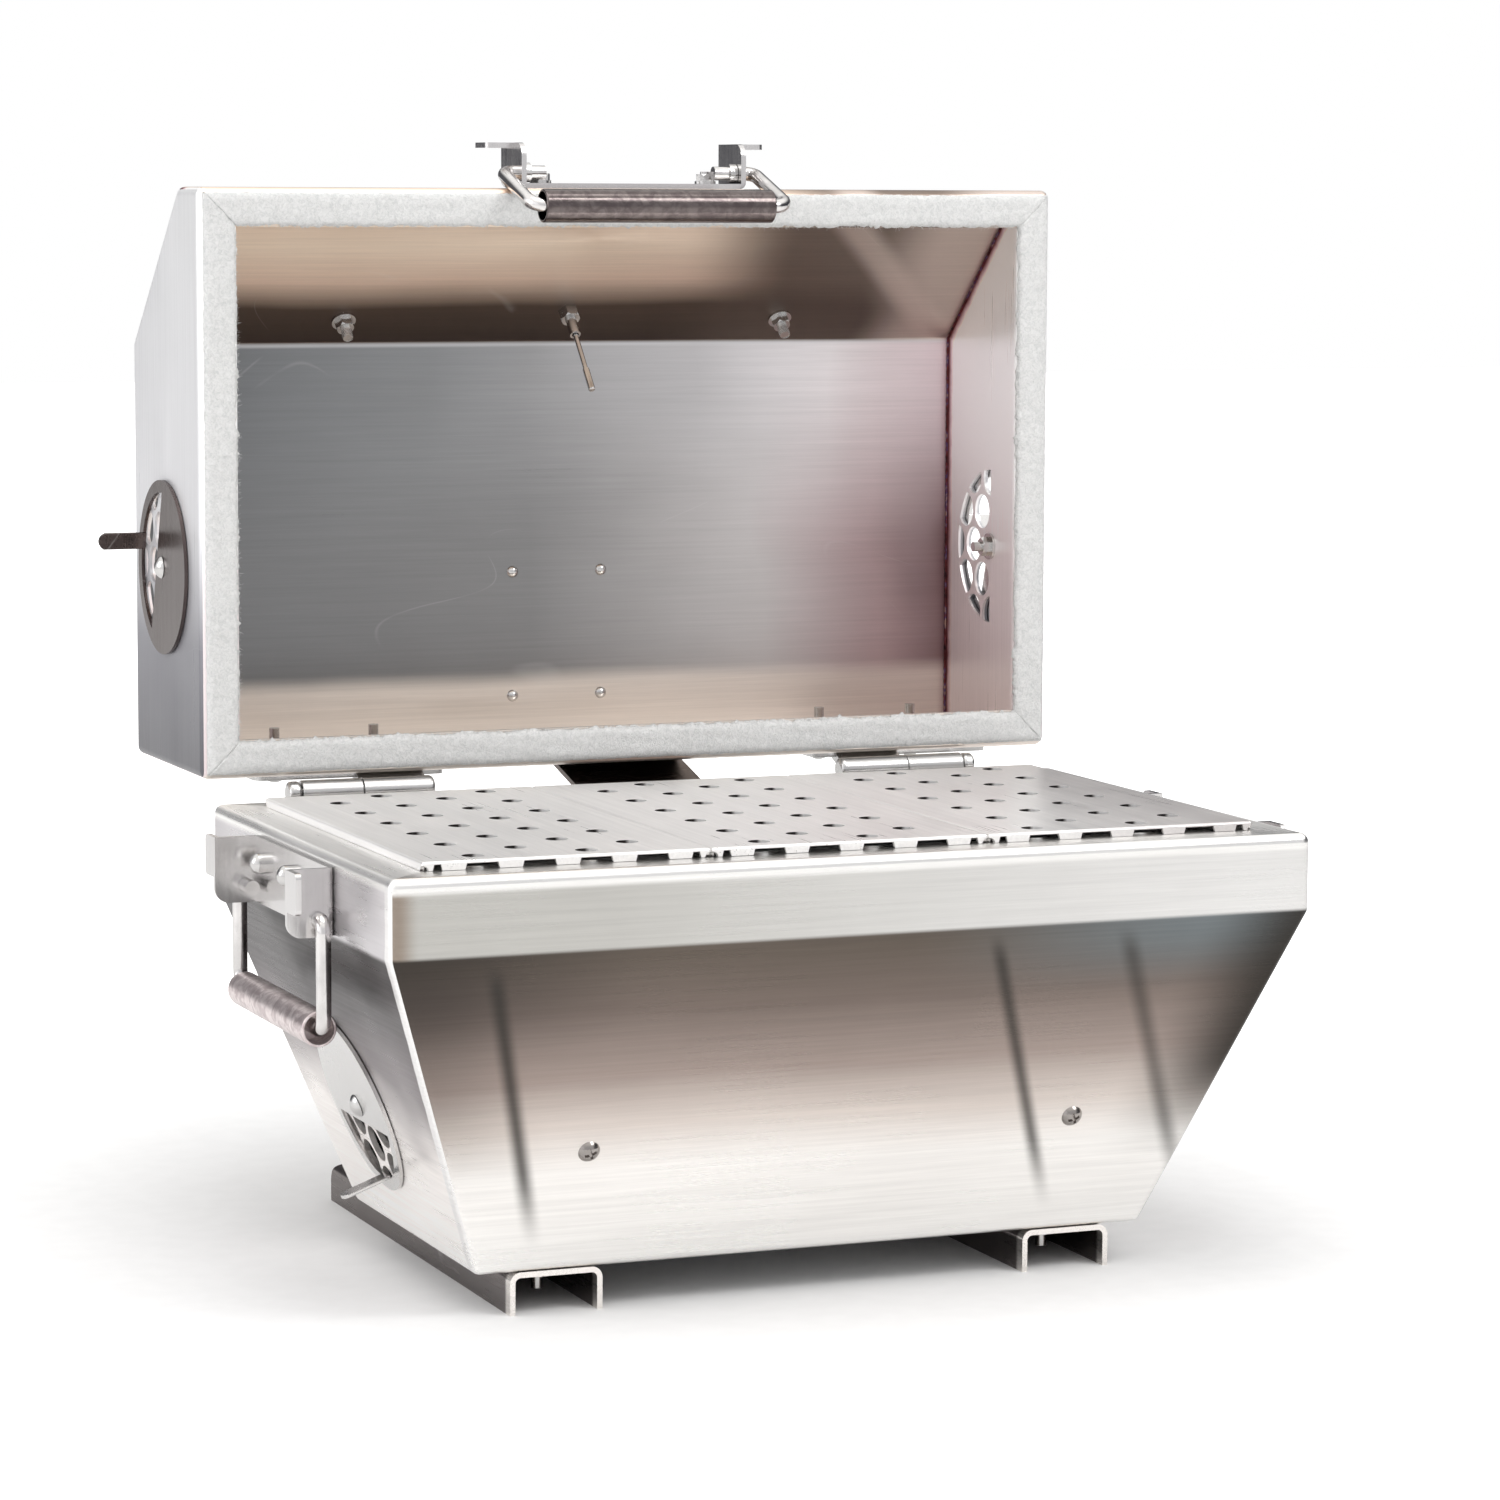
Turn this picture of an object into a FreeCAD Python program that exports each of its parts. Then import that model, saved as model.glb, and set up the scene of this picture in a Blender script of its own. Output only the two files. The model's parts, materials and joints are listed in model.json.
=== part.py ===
import FreeCAD, Part
import math
import os

os.makedirs("parts", exist_ok=True)

# Portable charcoal box grill in folded stainless sheet.  The lid stands open on its stop strap.
# Millimetres, +Z up, front towards -Y.  The lid and all it carries are drawn closed, then opened.

V = FreeCAD.Vector

# ---- sheet and running gaps
SHEET = 3.0
EDGE_R = 5.0
FOLD_R = 5.0
GAP = 0.3
RUN = 0.05
HOLE_SLACK = 0.25

# ---- firebox: a rolled ledge, an upright band, then four walls sloping in to the floor
RIM_X = 260.0
RIM_Y = 162.5
RIM_Z = 244.0
BAND_Z = 202.0
FLOOR_Z = 23.0
FLOOR_X = 193.0
FLOOR_FRONT = -95.5
FLOOR_BACK = 111.5
LEDGE = 34.0

# ---- lid
LID_X = 262.0
LID_Y = 166.0
LID_RIM_Z = 248.0
LID_TOP_Z = 391.0
SLANT_Z = 292.0
SLANT_Y = -76.0
LID_FLANGE = 22.0
FELT = 3.7
FELT_INSET = 3.0
HINGE_Y = 175.0
HINGE_Z = 246.5
LID_OPEN_DEG = 90.0

# ---- feet: two inverted channels running front to back
FOOT_X = 148.0
FOOT_HALF = 25.8
FOOT_BACK = 222.0
FOOT_BOLTS_Y = (-64.0, 80.0)

# ---- handle brackets and bails
BRACKET_HALF = 69.0
BRACKET_H = 36.0
EAR = 26.0
TIP_REACH = 16.5
TIP_LOW = 14.0
PIVOT_UP = 9.5
PIVOT_OFF = 9.0
ROD_R = 4.0
LEG_X = 77.5
DROP = 57.5
ROD_END_X = 52.0
GRIP_R = 9.5
GRIP_BORE = 8.2
GRIP_HALF = 69.5
BUSH_FROM = 36.0
BUSH_TO = 50.0
LID_GRIP_SLIDE = -3.0
LID_BRACKET_Z = 254.5
LID_BAIL_DROOP = 19.0

# ---- round vents
VENT_R = 47.0
VENT_HOLE_R = 10.5
VENT_PITCH = 24.0
DISC_R = 50.0
DISC_T = 2.0
DISC_GAP = 0.5
D_RADIUS = 43.0
D_FLAT = 10.0
TAB_W = 10.0
TAB_L = 28.0
FIREBOX_VENT_Y = 12.0
FIREBOX_VENT_DOWN = 112.0
LID_VENT_Y = 51.0
LID_VENT_Z = 322.5
LID_DISC_TURN = 17.0

# ---- cooking grates
GRATE_W = 157.2
GRATE_PITCH = 157.5
GRATE_Y = 140.4
GRATE_T = 2.0
GRATE_TOP = 249.0
GRATE_LOW = 244.2
GRATE_HOLE_R = 6.0
GRATE_COL = 30.8
GRATE_ROW = 45.5
GRATE_END_NOTCH_X = 70.3
LONG_NOTCH = (9.6, 8.4)
SHORT_NOTCH = (2.9, 1.8)
NOTCH_TOP = GRATE_LOW + 3.3

# ---- hinges
BARREL_R = 7.0
PIN_R = 3.0
BARREL_IN = 126.0
BARREL_MID = 169.0
BARREL_OUT = 205.0
BARREL_ROUND = 3.0
PIN_HEAD_R = 6.6
PIN_HEAD_L = 7.5
LEAF_IN = 115.0
LEAF_OUT = 228.0
LEAF_BOLTS_X = (141.0, 201.0)
LEAF_BOLT_REACH = 65.0
BASE_LEAF_BOLT_Z = 218.0

# ---- stop strap
STRAP_HALF = 39.0
STRAP_FRONT_Y = 53.0
STRAP_FLARE_Z = 289.5
STRAP_TIP = (180.5, 234.3)
RIVETS_X = (-28.4, 28.4)
RIVETS_Y = (64.3, 139.6)
RIVET_HEAD_H = 2.5

# ---- screws
M6 = 3.0
SLEEVE_R = 3.3
RAIL_SCREW_X = 139.0
RAIL_SCREW_Z = 90.0
SLANT_BOLT_SHARE = 0.838
GAUGE_SHARE = 0.783

# The finished part is moved back so that its origin is the bottom centre of its bounding box.
REAR_Y = HINGE_Y + LID_TOP_Z + SHEET + RIVET_HEAD_H - HINGE_Z
ORIGIN_Y = (RIM_Y - REAR_Y) / 2.0


# ------------------------------------------------------------------ helpers
def box(x0, x1, y0, y1, z0, z1):
    return Part.makeBox(x1 - x0, y1 - y0, z1 - z0, V(x0, y0, z0))


def rod(start, end, radius):
    axis = end - start
    return Part.makeCylinder(radius, axis.Length, start, axis)


def face(points):
    return Part.Face(Part.makePolygon(points + [points[0]]))


def prism_x(profile, x0, x1):
    """Extrude a (y, z) outline from x0 to x1."""
    return face([V(x0, y, z) for y, z in profile]).extrude(V(x1 - x0, 0, 0))


def prism_y(profile, y0, y1):
    """Extrude an (x, z) outline from y0 to y1."""
    return face([V(x, y0, z) for x, z in profile]).extrude(V(0, y1 - y0, 0))


def prism_z(profile, z0, z1):
    """Extrude an (x, y) outline from z0 to z1."""
    return face([V(x, y, z0) for x, y in profile]).extrude(V(0, 0, z1 - z0))


def fuse(shapes):
    first = shapes[0]
    if len(shapes) == 1:
        return first
    return first.fuse(shapes[1:]).removeSplitter()


def mirror_x(shape):
    return shape.mirror(V(0, 0, 0), V(1, 0, 0))


def both(shape):
    return [shape, mirror_x(shape)]


def aim(shape, point, direction, spin=0.0):
    """Stand a shape drawn along +Z at a point, with its +Z along the direction."""
    turned = shape.copy()
    turn = FreeCAD.Rotation(V(0, 0, 1), direction)
    turned.Placement = FreeCAD.Placement(point, turn.multiply(FreeCAD.Rotation(V(0, 0, 1), spin)))
    return turned


def rounded(shape, radius, wanted):
    """Round every straight edge whose direction and middle point are wanted."""
    edges = []
    for edge in shape.Edges:
        middle = edge.CenterOfMass
        along = (edge.Vertexes[-1].Point - edge.Vertexes[0].Point).normalize()
        if wanted(along, middle):
            edges.append(edge)
    return shape.makeFillet(radius, edges)


def ring_hull(rings):
    """Solid with flat faces through a stack of rectangles (x_half, y_front, y_back, z)."""
    loops = [
        [V(-x, y0, z), V(x, y0, z), V(x, y1, z), V(-x, y1, z)]
        for x, y0, y1, z in rings
    ]
    faces = [face(loops[0][::-1]), face(loops[-1])]
    for low, high in zip(loops, loops[1:]):
        for i in range(4):
            j = (i + 1) % 4
            faces.append(face([low[i], low[j], high[j], high[i]]))
    return Part.makeSolid(Part.makeShell(faces))


def to_box_origin(shape):
    moved = shape.copy()
    moved.translate(V(0, ORIGIN_Y, 0))
    return moved


def save(name, solids):
    solids = solids if isinstance(solids, list) else [solids]
    flat = [solid for shape in solids for solid in shape.Solids]
    whole = flat[0] if len(flat) == 1 else Part.makeCompound(flat)
    to_box_origin(whole).exportStep("parts/" + name + ".step")


def opened(shapes):
    """Swing what was drawn on the closed lid to the open rest pose."""
    shapes = shapes if isinstance(shapes, list) else [shapes]
    turned = []
    for shape in shapes:
        copy = shape.copy()
        copy.rotate(V(0, HINGE_Y, HINGE_Z), V(1, 0, 0), -LID_OPEN_DEG)
        turned.append(copy)
    return turned


# ------------------------------------------------------------------ fasteners
def dome(radius, height):
    ball = (radius * radius + height * height) / (2.0 * height)
    cap = Part.makeSphere(ball, V(0, 0, height - ball))
    return cap.common(Part.makeCylinder(radius, height))


def hex_nut(across, height, z_low):
    corner = across / math.sqrt(3.0)
    points = [
        (corner * math.cos(math.radians(60 * i)), corner * math.sin(math.radians(60 * i)))
        for i in range(6)
    ]
    chamfer = Part.makeCone(corner + 0.2, across / 2.0 + 0.1, 1.2, V(0, 0, z_low + height - 1.2))
    body = prism_z(points, z_low, z_low + height)
    upper = body.common(chamfer)
    return body.cut(box(-across, across, -across, across, z_low + height - 1.2, z_low + height)).fuse(upper)


def cross_recess(radius, height):
    arm = 0.8
    bars = [
        box(-radius * 0.55, radius * 0.55, -arm, arm, height * 0.45, height + 1.0),
        box(-arm, arm, -radius * 0.55, radius * 0.55, height * 0.45, height + 1.0),
    ]
    return fuse(bars)


def bolt(shank_r, grip, head_r, head_h, nut_w, nut_h, tail, recess=False, washer_r=0.0):
    """Head on the +Z side of z=0, shank down through the grip, washer, nut and thread end."""
    washer_t = 1.6 if washer_r else 0.0
    head = dome(head_r, head_h)
    if recess:
        head = head.cut(cross_recess(head_r, head_h))
    end = -(grip + washer_t + nut_h + tail)
    parts = [head, Part.makeCylinder(shank_r, -end, V(0, 0, end))]
    if washer_r:
        parts.append(Part.makeCylinder(washer_r, washer_t, V(0, 0, -grip - washer_t)))
    nut = hex_nut(nut_w, nut_h, 0.0)
    nut.rotate(V(0, 0, 0), V(1, 0, 0), 180)
    nut.translate(V(0, 0, -grip - washer_t))
    parts.append(nut)
    return fuse(parts)


def drill(radius, length=40.0):
    return Part.makeCylinder(radius + HOLE_SLACK, length, V(0, 0, -length / 2.0))


# ------------------------------------------------------------------ slopes of the walls
SIDE_RUN = RIM_X - FLOOR_X
SLOPE_RISE = BAND_Z - FLOOR_Z
SIDE_ANGLE = math.atan2(SIDE_RUN, SLOPE_RISE)
FRONT_ANGLE = math.atan2(RIM_Y + FLOOR_FRONT, SLOPE_RISE)
BACK_ANGLE = math.atan2(RIM_Y - FLOOR_BACK, SLOPE_RISE)
SIDE_NORMAL = V(math.cos(SIDE_ANGLE), 0, -math.sin(SIDE_ANGLE))
FRONT_NORMAL = V(0, -math.cos(FRONT_ANGLE), -math.sin(FRONT_ANGLE))
BACK_NORMAL = V(0, math.cos(BACK_ANGLE), -math.sin(BACK_ANGLE))


def side_x(z):
    return RIM_X - (BAND_Z - z) * math.tan(SIDE_ANGLE)


def front_y(z):
    return -RIM_Y + (BAND_Z - z) * math.tan(FRONT_ANGLE)


def back_y(z):
    return RIM_Y - (BAND_Z - z) * math.tan(BACK_ANGLE)


FIREBOX_VENT_Z = BAND_Z - FIREBOX_VENT_DOWN * math.cos(SIDE_ANGLE) + 0.3
FIREBOX_VENT_AT = V(side_x(FIREBOX_VENT_Z), FIREBOX_VENT_Y, FIREBOX_VENT_Z)
LID_VENT_AT = V(LID_X, LID_VENT_Y, LID_VENT_Z)

SLANT_LEN = math.hypot(SLANT_Y + LID_Y, LID_TOP_Z - SLANT_Z)
SLANT_DIR = V(0, (SLANT_Y + LID_Y) / SLANT_LEN, (LID_TOP_Z - SLANT_Z) / SLANT_LEN)
SLANT_NORMAL = V(0, -SLANT_DIR.z, SLANT_DIR.y)


def on_slant(x, share):
    """Point on the lid's outer slanted face, at a share of the way from band to top."""
    start = V(x, -LID_Y, SLANT_Z)
    return start + SLANT_DIR * (SLANT_LEN * share)


# ------------------------------------------------------------------ vents
def vent_holes():
    """Honeycomb of round holes clipped to a half disc that lies on the -Y side."""
    column = VENT_PITCH * math.sqrt(3.0) / 2.0
    holes = []
    for i in range(-2, 3):
        start = VENT_PITCH / 2.0 if i % 2 else 0.0
        for j in range(0, 3):
            down = start + j * VENT_PITCH
            if i == 0 and j == 0:
                continue
            holes.append(Part.makeCylinder(VENT_HOLE_R, 40, V(i * column, -down, -20)))
    half = Part.makeCylinder(VENT_R, 40, V(0, 0, -20))
    half = half.cut(box(-VENT_R, VENT_R, 0, VENT_R, -20, 20))
    return fuse(holes).common(half)


def vent_disc():
    """Shutter with a D window on the -Y side; its tongue is bent out as a finger tab."""
    disc = Part.makeCylinder(DISC_R, DISC_T)
    window = Part.makeCylinder(D_RADIUS, DISC_T)
    window = window.cut(box(-DISC_R, DISC_R, -D_FLAT, DISC_R, 0, DISC_T))
    tab = box(-TAB_W / 2, TAB_W / 2, -D_RADIUS - 1.0, -D_RADIUS + 1.0, 0, TAB_L - 3.0)
    tab = tab.fuse(Part.makeCylinder(TAB_W / 2, 2.0, V(0, -D_RADIUS + 1.0, TAB_L - TAB_W / 2), V(0, -1, 0)))
    tab = rounded(tab.removeSplitter(), 0.6, lambda along, middle: abs(along.z) > 0.9 and middle.z > 3)
    bore = Part.makeCylinder(M6 + RUN, DISC_T)
    return disc.cut(window).fuse(tab).cut(bore).removeSplitter()


def vent_bolt():
    """Fixed stud the shutter turns on: spacer under the disc, dome head over it, nut inside."""
    grip = SHEET + DISC_GAP + DISC_T + GAP
    stud = bolt(M6, grip, 6.5, 3.8, 10.0, 5.0, 5.0, washer_r=8.0)
    stud.translate(V(0, 0, DISC_GAP + DISC_T + GAP))
    spacer = Part.makeCylinder(7.0, DISC_GAP - 0.1)
    return stud.fuse(spacer).removeSplitter()


def on_side(shape, lift=0.0):
    """Place a vent piece on the right sloping wall, its -Y pointing down the slope."""
    turned = shape.copy()
    turn = FreeCAD.Rotation(V(0, 1, 0), 90).multiply(FreeCAD.Rotation(V(0, 0, 1), 90))
    turned.Placement = FreeCAD.Placement(V(0, 0, lift), FreeCAD.Rotation()).multiply(turned.Placement)
    tilt = FreeCAD.Rotation(V(0, 1, 0), math.degrees(SIDE_ANGLE))
    turned.Placement = FreeCAD.Placement(FIREBOX_VENT_AT, tilt.multiply(turn)).multiply(turned.Placement)
    return turned


def on_lid_end(shape, lift=0.0, turn_deg=0.0):
    """Place a vent piece on the right lid end, its -Y pointing to the closed lid's top."""
    turned = shape.copy()
    turn = FreeCAD.Rotation(V(0, 1, 0), 90).multiply(FreeCAD.Rotation(V(0, 0, 1), 270 + turn_deg))
    turned.Placement = FreeCAD.Placement(V(0, 0, lift), FreeCAD.Rotation()).multiply(turned.Placement)
    turned.Placement = FreeCAD.Placement(LID_VENT_AT, turn).multiply(turned.Placement)
    return turned


# ------------------------------------------------------------------ firebox
def firebox_panels():
    along_any = SHEET / math.cos(SIDE_ANGLE)
    inner_low = FLOOR_Z + SHEET
    knee = BAND_Z + 0.5
    outer = ring_hull([
        (FLOOR_X, FLOOR_FRONT, FLOOR_BACK, FLOOR_Z),
        (RIM_X, -RIM_Y, RIM_Y, BAND_Z),
        (RIM_X, -RIM_Y, RIM_Y, RIM_Z),
    ])
    outer = outer.makeFillet(FOLD_R, outer.Edges)
    back_t = SHEET / math.cos(BACK_ANGLE)
    inner = ring_hull([
        (side_x(inner_low) - along_any, front_y(inner_low) + along_any, back_y(inner_low) - back_t, inner_low),
        (RIM_X - SHEET, -RIM_Y + SHEET, RIM_Y - SHEET, knee),
        (RIM_X - SHEET, -RIM_Y + SHEET, RIM_Y - SHEET, RIM_Z - SHEET),
    ])
    mouth_x = RIM_X - LEDGE
    mouth_y = RIM_Y - LEDGE
    mouth = box(-mouth_x, mouth_x, -mouth_y, mouth_y, RIM_Z - SHEET - 1, RIM_Z + 1)
    skin = outer.cut(inner).cut(mouth)

    floor_cut = box(-FLOOR_X + FOLD_R, FLOOR_X - FOLD_R, FLOOR_FRONT + FOLD_R, FLOOR_BACK - FOLD_R,
                    FLOOR_Z, inner_low)
    floor = skin.common(floor_cut)
    walls = skin.cut(floor_cut)

    # Corner seams run in upright planes through each corner's slope line.
    front_reach = RIM_X - RIM_Y
    slope_ratio = SIDE_RUN / (RIM_Y - FLOOR_BACK)
    back_start = RIM_X - slope_ratio * RIM_Y
    meet_y = (front_reach - back_start) / (1.0 + slope_ratio)
    far = 60.0
    wedge = prism_z([
        (front_reach - meet_y, meet_y),
        (RIM_X + far, -RIM_Y - far),
        (RIM_X + far * slope_ratio, RIM_Y + far),
    ], 0.0, RIM_Z + 10.0)
    right = walls.common(wedge)
    left = walls.common(mirror_x(wedge))
    rest = walls.cut(wedge).cut(mirror_x(wedge))
    front = min(rest.Solids, key=lambda solid: solid.CenterOfMass.y)
    back = max(rest.Solids, key=lambda solid: solid.CenterOfMass.y)
    return front, back, right, left, floor


def rail_screw_points():
    front = [V(x, front_y(RAIL_SCREW_Z), RAIL_SCREW_Z) for x in (-RAIL_SCREW_X, RAIL_SCREW_X)]
    back = [V(x, back_y(RAIL_SCREW_Z), RAIL_SCREW_Z) for x in (-RAIL_SCREW_X, RAIL_SCREW_X)]
    return front, back


def rail_profile(wall_y, inward):
    """Angle that lies on the inner slope with a shelf on top; inward is +1 or -1 along Y."""
    low, high = RAIL_SCREW_Z - 10.0, RAIL_SCREW_Z + 12.0
    t = 2.0
    shelf = 18.0
    return [
        (wall_y(low), low),
        (wall_y(low) + inward * t, low),
        (wall_y(high - t) + inward * t, high - t),
        (wall_y(high) + inward * shelf, high - t),
        (wall_y(high) + inward * shelf, high),
        (wall_y(high), high),
    ]


def charcoal_rails():
    thick = SHEET / math.cos(FRONT_ANGLE) + 0.02
    back_thick = SHEET / math.cos(BACK_ANGLE) + 0.02
    half = 190.0
    front = prism_x(rail_profile(lambda z: front_y(z) + thick, 1), -half, half)
    back = prism_x(rail_profile(lambda z: back_y(z) - back_thick, -1), -half, half)
    front_points, back_points = rail_screw_points()
    for point in front_points:
        front = front.cut(aim(drill(M6), point, FRONT_NORMAL))
    for point in back_points:
        back = back.cut(aim(drill(M6), point, BACK_NORMAL))
    return front, back


def charcoal_grate():
    low = RAIL_SCREW_Z + 12.0
    plate = box(-204, 204, -113, 124, low, low + 2.0)
    slots = []
    for i in range(-8, 9):
        for y in (-78.0, -25.0, 28.0, 81.0):
            x = i * 23.0
            slots.append(box(x - 4, x + 4, y - 18 + 4, y + 18 - 4, low - 1, low + 3))
            slots.append(Part.makeCylinder(4, 4, V(x, y - 14, low - 1)))
            slots.append(Part.makeCylinder(4, 4, V(x, y + 14, low - 1)))
    return plate.cut(fuse(slots))


def cooking_grate(centre_x):
    half = GRATE_W / 2.0
    outer = box(-half, half, -GRATE_Y, GRATE_Y, GRATE_LOW, GRATE_TOP)
    outer = rounded(outer, 1.6, lambda along, middle: abs(middle.z - GRATE_TOP) < 0.1 or abs(along.z) > 0.9)
    inner = box(-half + GRATE_T, half - GRATE_T, -GRATE_Y + GRATE_T, GRATE_Y - GRATE_T,
                GRATE_LOW - 1, GRATE_TOP - GRATE_T)
    tray = outer.cut(inner)
    first_row = GRATE_ROW * 2.75
    holes = []
    for i in range(4):
        x = (i - 1.5) * GRATE_COL
        start = -first_row if i % 2 == 0 else GRATE_ROW / 2.0 - first_row
        for j in range(6):
            holes.append(Part.makeCylinder(GRATE_HOLE_R, 10, V(x, start + j * GRATE_ROW, GRATE_TOP - 5)))
    notches = []
    for x, low_half, high_half in [((i - 1.5) * GRATE_COL, *LONG_NOTCH) for i in range(4)] + [
            (-GRATE_END_NOTCH_X, *SHORT_NOTCH), (GRATE_END_NOTCH_X, *SHORT_NOTCH)]:
        outline = [(x - low_half, GRATE_LOW - 1), (x + low_half, GRATE_LOW - 1),
                   (x + high_half, NOTCH_TOP), (x - high_half, NOTCH_TOP)]
        for y in (-GRATE_Y - 1, GRATE_Y - GRATE_T - 0.2):
            notches.append(prism_y(outline, y, y + GRATE_T + 1.2))
    # Round relief where the folded edges meet at each corner.
    corners = [
        Part.makeSphere(3.0, V(sx * (half - 0.6), sy * (GRATE_Y - 0.6), GRATE_LOW - 0.2))
        for sx in (-1, 1) for sy in (-1, 1)
    ]
    grate = tray.cut(fuse(holes)).cut(fuse(notches)).cut(fuse(corners))
    grate.translate(V(centre_x, 0, 0))
    return grate


def foot():
    half, t = FOOT_HALF, SHEET
    channel = box(-half, half, FLOOR_FRONT, FOOT_BACK, 0, FLOOR_Z)
    channel = rounded(channel, 6.0, lambda along, middle: abs(along.y) > 0.9 and middle.z > FLOOR_Z - 1)
    hollow = box(-half + t, half - t, FLOOR_FRONT - 1, FOOT_BACK + 1, -1, FLOOR_Z - t)
    hollow = rounded(hollow, 3.0, lambda along, middle: abs(along.y) > 0.9 and middle.z > FLOOR_Z - t - 1)
    heel_r = 12.0
    heel = box(-half - 1, half + 1, FOOT_BACK - heel_r, FOOT_BACK + 1, FLOOR_Z - heel_r, FLOOR_Z + 1)
    heel = heel.cut(rod(V(-half - 1, FOOT_BACK - heel_r, FLOOR_Z - heel_r),
                        V(half + 1, FOOT_BACK - heel_r, FLOOR_Z - heel_r), heel_r))
    channel = channel.cut(hollow).cut(heel)
    channel.translate(V(FOOT_X, 0, 0))
    for y in FOOT_BOLTS_Y:
        channel = channel.cut(aim(drill(M6, 20.0), V(FOOT_X, y, FLOOR_Z), V(0, 0, 1)))
    return channel


# ------------------------------------------------------------------ bracket, bail and grip
# Drawn on a wall facing -Y whose face is y=0, with the bracket's lower edge at z=0.
PIVOT = V(0, -PIVOT_OFF, PIVOT_UP)
BRACKET_BOLTS_X = 51.0


def ear_bracket():
    plate = box(-BRACKET_HALF, BRACKET_HALF, -SHEET, 0, 0, BRACKET_H)
    side = [(0, 0), (-EAR, 0), (-EAR, BRACKET_H), (0, BRACKET_H)]
    ear = prism_x(side, BRACKET_HALF - SHEET, BRACKET_HALF)
    ear = rounded(ear, 8.0, lambda along, middle: abs(along.x) > 0.9 and middle.y < -EAR + 1 and middle.z < 1)
    reach = BRACKET_HALF + TIP_REACH
    tip = box(BRACKET_HALF - SHEET, reach, -EAR, -EAR + SHEET, TIP_LOW, BRACKET_H)
    tip = rounded(tip, 3.0, lambda along, middle: abs(along.y) > 0.9 and middle.x > reach - 1)
    right = ear.fuse(tip)
    whole = plate.fuse([right, mirror_x(right)]).removeSplitter()
    outside = lambda along, middle: (
        abs(along.z) > 0.9 and abs(abs(middle.x) - BRACKET_HALF) < 0.1 and abs(middle.y) < 0.1
    )
    whole = rounded(whole, 4.0, outside)
    bore = rod(V(-100, PIVOT.y, PIVOT.z), V(100, PIVOT.y, PIVOT.z), ROD_R + RUN)
    return whole.cut(bore)


def bail_rod():
    bend, corner = 6.0, 10.0
    s = math.sqrt(0.5)
    low = PIVOT.z - DROP
    y = PIVOT.y

    def at(x, z):
        return V(x, y, z)

    path = [
        Part.makeLine(at(-ROD_END_X, PIVOT.z), at(-LEG_X + bend, PIVOT.z)),
        Part.Arc(at(-LEG_X + bend, PIVOT.z), at(-LEG_X + bend - bend * s, PIVOT.z - bend + bend * s),
                 at(-LEG_X, PIVOT.z - bend)).toShape(),
        Part.makeLine(at(-LEG_X, PIVOT.z - bend), at(-LEG_X, low + corner)),
        Part.Arc(at(-LEG_X, low + corner), at(-LEG_X + corner - corner * s, low + corner - corner * s),
                 at(-LEG_X + corner, low)).toShape(),
        Part.makeLine(at(-LEG_X + corner, low), at(0, low)),
    ]
    circle = Part.Wire([Part.makeCircle(ROD_R, at(-ROD_END_X, PIVOT.z), V(1, 0, 0))])
    half = Part.Wire(path).makePipeShell([circle], True, False)
    return half.fuse(mirror_x(half)).removeSplitter()


def grip_tube():
    low = PIVOT.z - DROP
    tube = rod(V(-GRIP_HALF, PIVOT.y, low), V(GRIP_HALF, PIVOT.y, low), GRIP_R)
    tube = tube.makeFillet(0.8, tube.Edges[:1] + tube.Edges[2:])
    tube = tube.cut(rod(V(-GRIP_HALF - 1, PIVOT.y, low), V(GRIP_HALF + 1, PIVOT.y, low), GRIP_BORE))
    bushes = [
        rod(V(a, PIVOT.y, low), V(b, PIVOT.y, low), GRIP_BORE + 0.5)
        for a, b in ((-BUSH_TO, -BUSH_FROM), (BUSH_FROM, BUSH_TO))
    ]
    tube = tube.fuse(bushes)
    return tube.cut(rod(V(-70, PIVOT.y, low), V(70, PIVOT.y, low), ROD_R + RUN)).removeSplitter()


def on_right_side(shape):
    turned = shape.copy()
    turned.rotate(V(0, 0, 0), V(0, 0, 1), 90)
    turned.translate(V(RIM_X, 0, BAND_Z))
    return turned


def on_lid_front(shape, droop=0.0):
    turned = shape.copy()
    turned.rotate(PIVOT, V(1, 0, 0), droop)
    turned.translate(V(0, -LID_Y, LID_BRACKET_Z))
    return turned


def pivot_washers():
    """Loose washers on the inner ends of the lid bail's pins."""
    outer = rod(V(61.2, PIVOT.y, PIVOT.z), V(65.7, PIVOT.y, PIVOT.z), 5.6)
    ring = outer.cut(rod(V(60, PIVOT.y, PIVOT.z), V(67, PIVOT.y, PIVOT.z), ROD_R + RUN))
    return both(ring)


# ------------------------------------------------------------------ lid
def slant_inner_points():
    inward = SLANT_NORMAL * -SHEET
    start = V(0, -LID_Y, SLANT_Z) + inward
    to_wall = (-LID_Y + SHEET - start.y) / SLANT_DIR.y
    to_top = (LID_TOP_Z - SHEET - start.z) / SLANT_DIR.z
    low = start + SLANT_DIR * to_wall
    high = start + SLANT_DIR * to_top
    return (low.y, low.z), (high.y, high.z)


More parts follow.
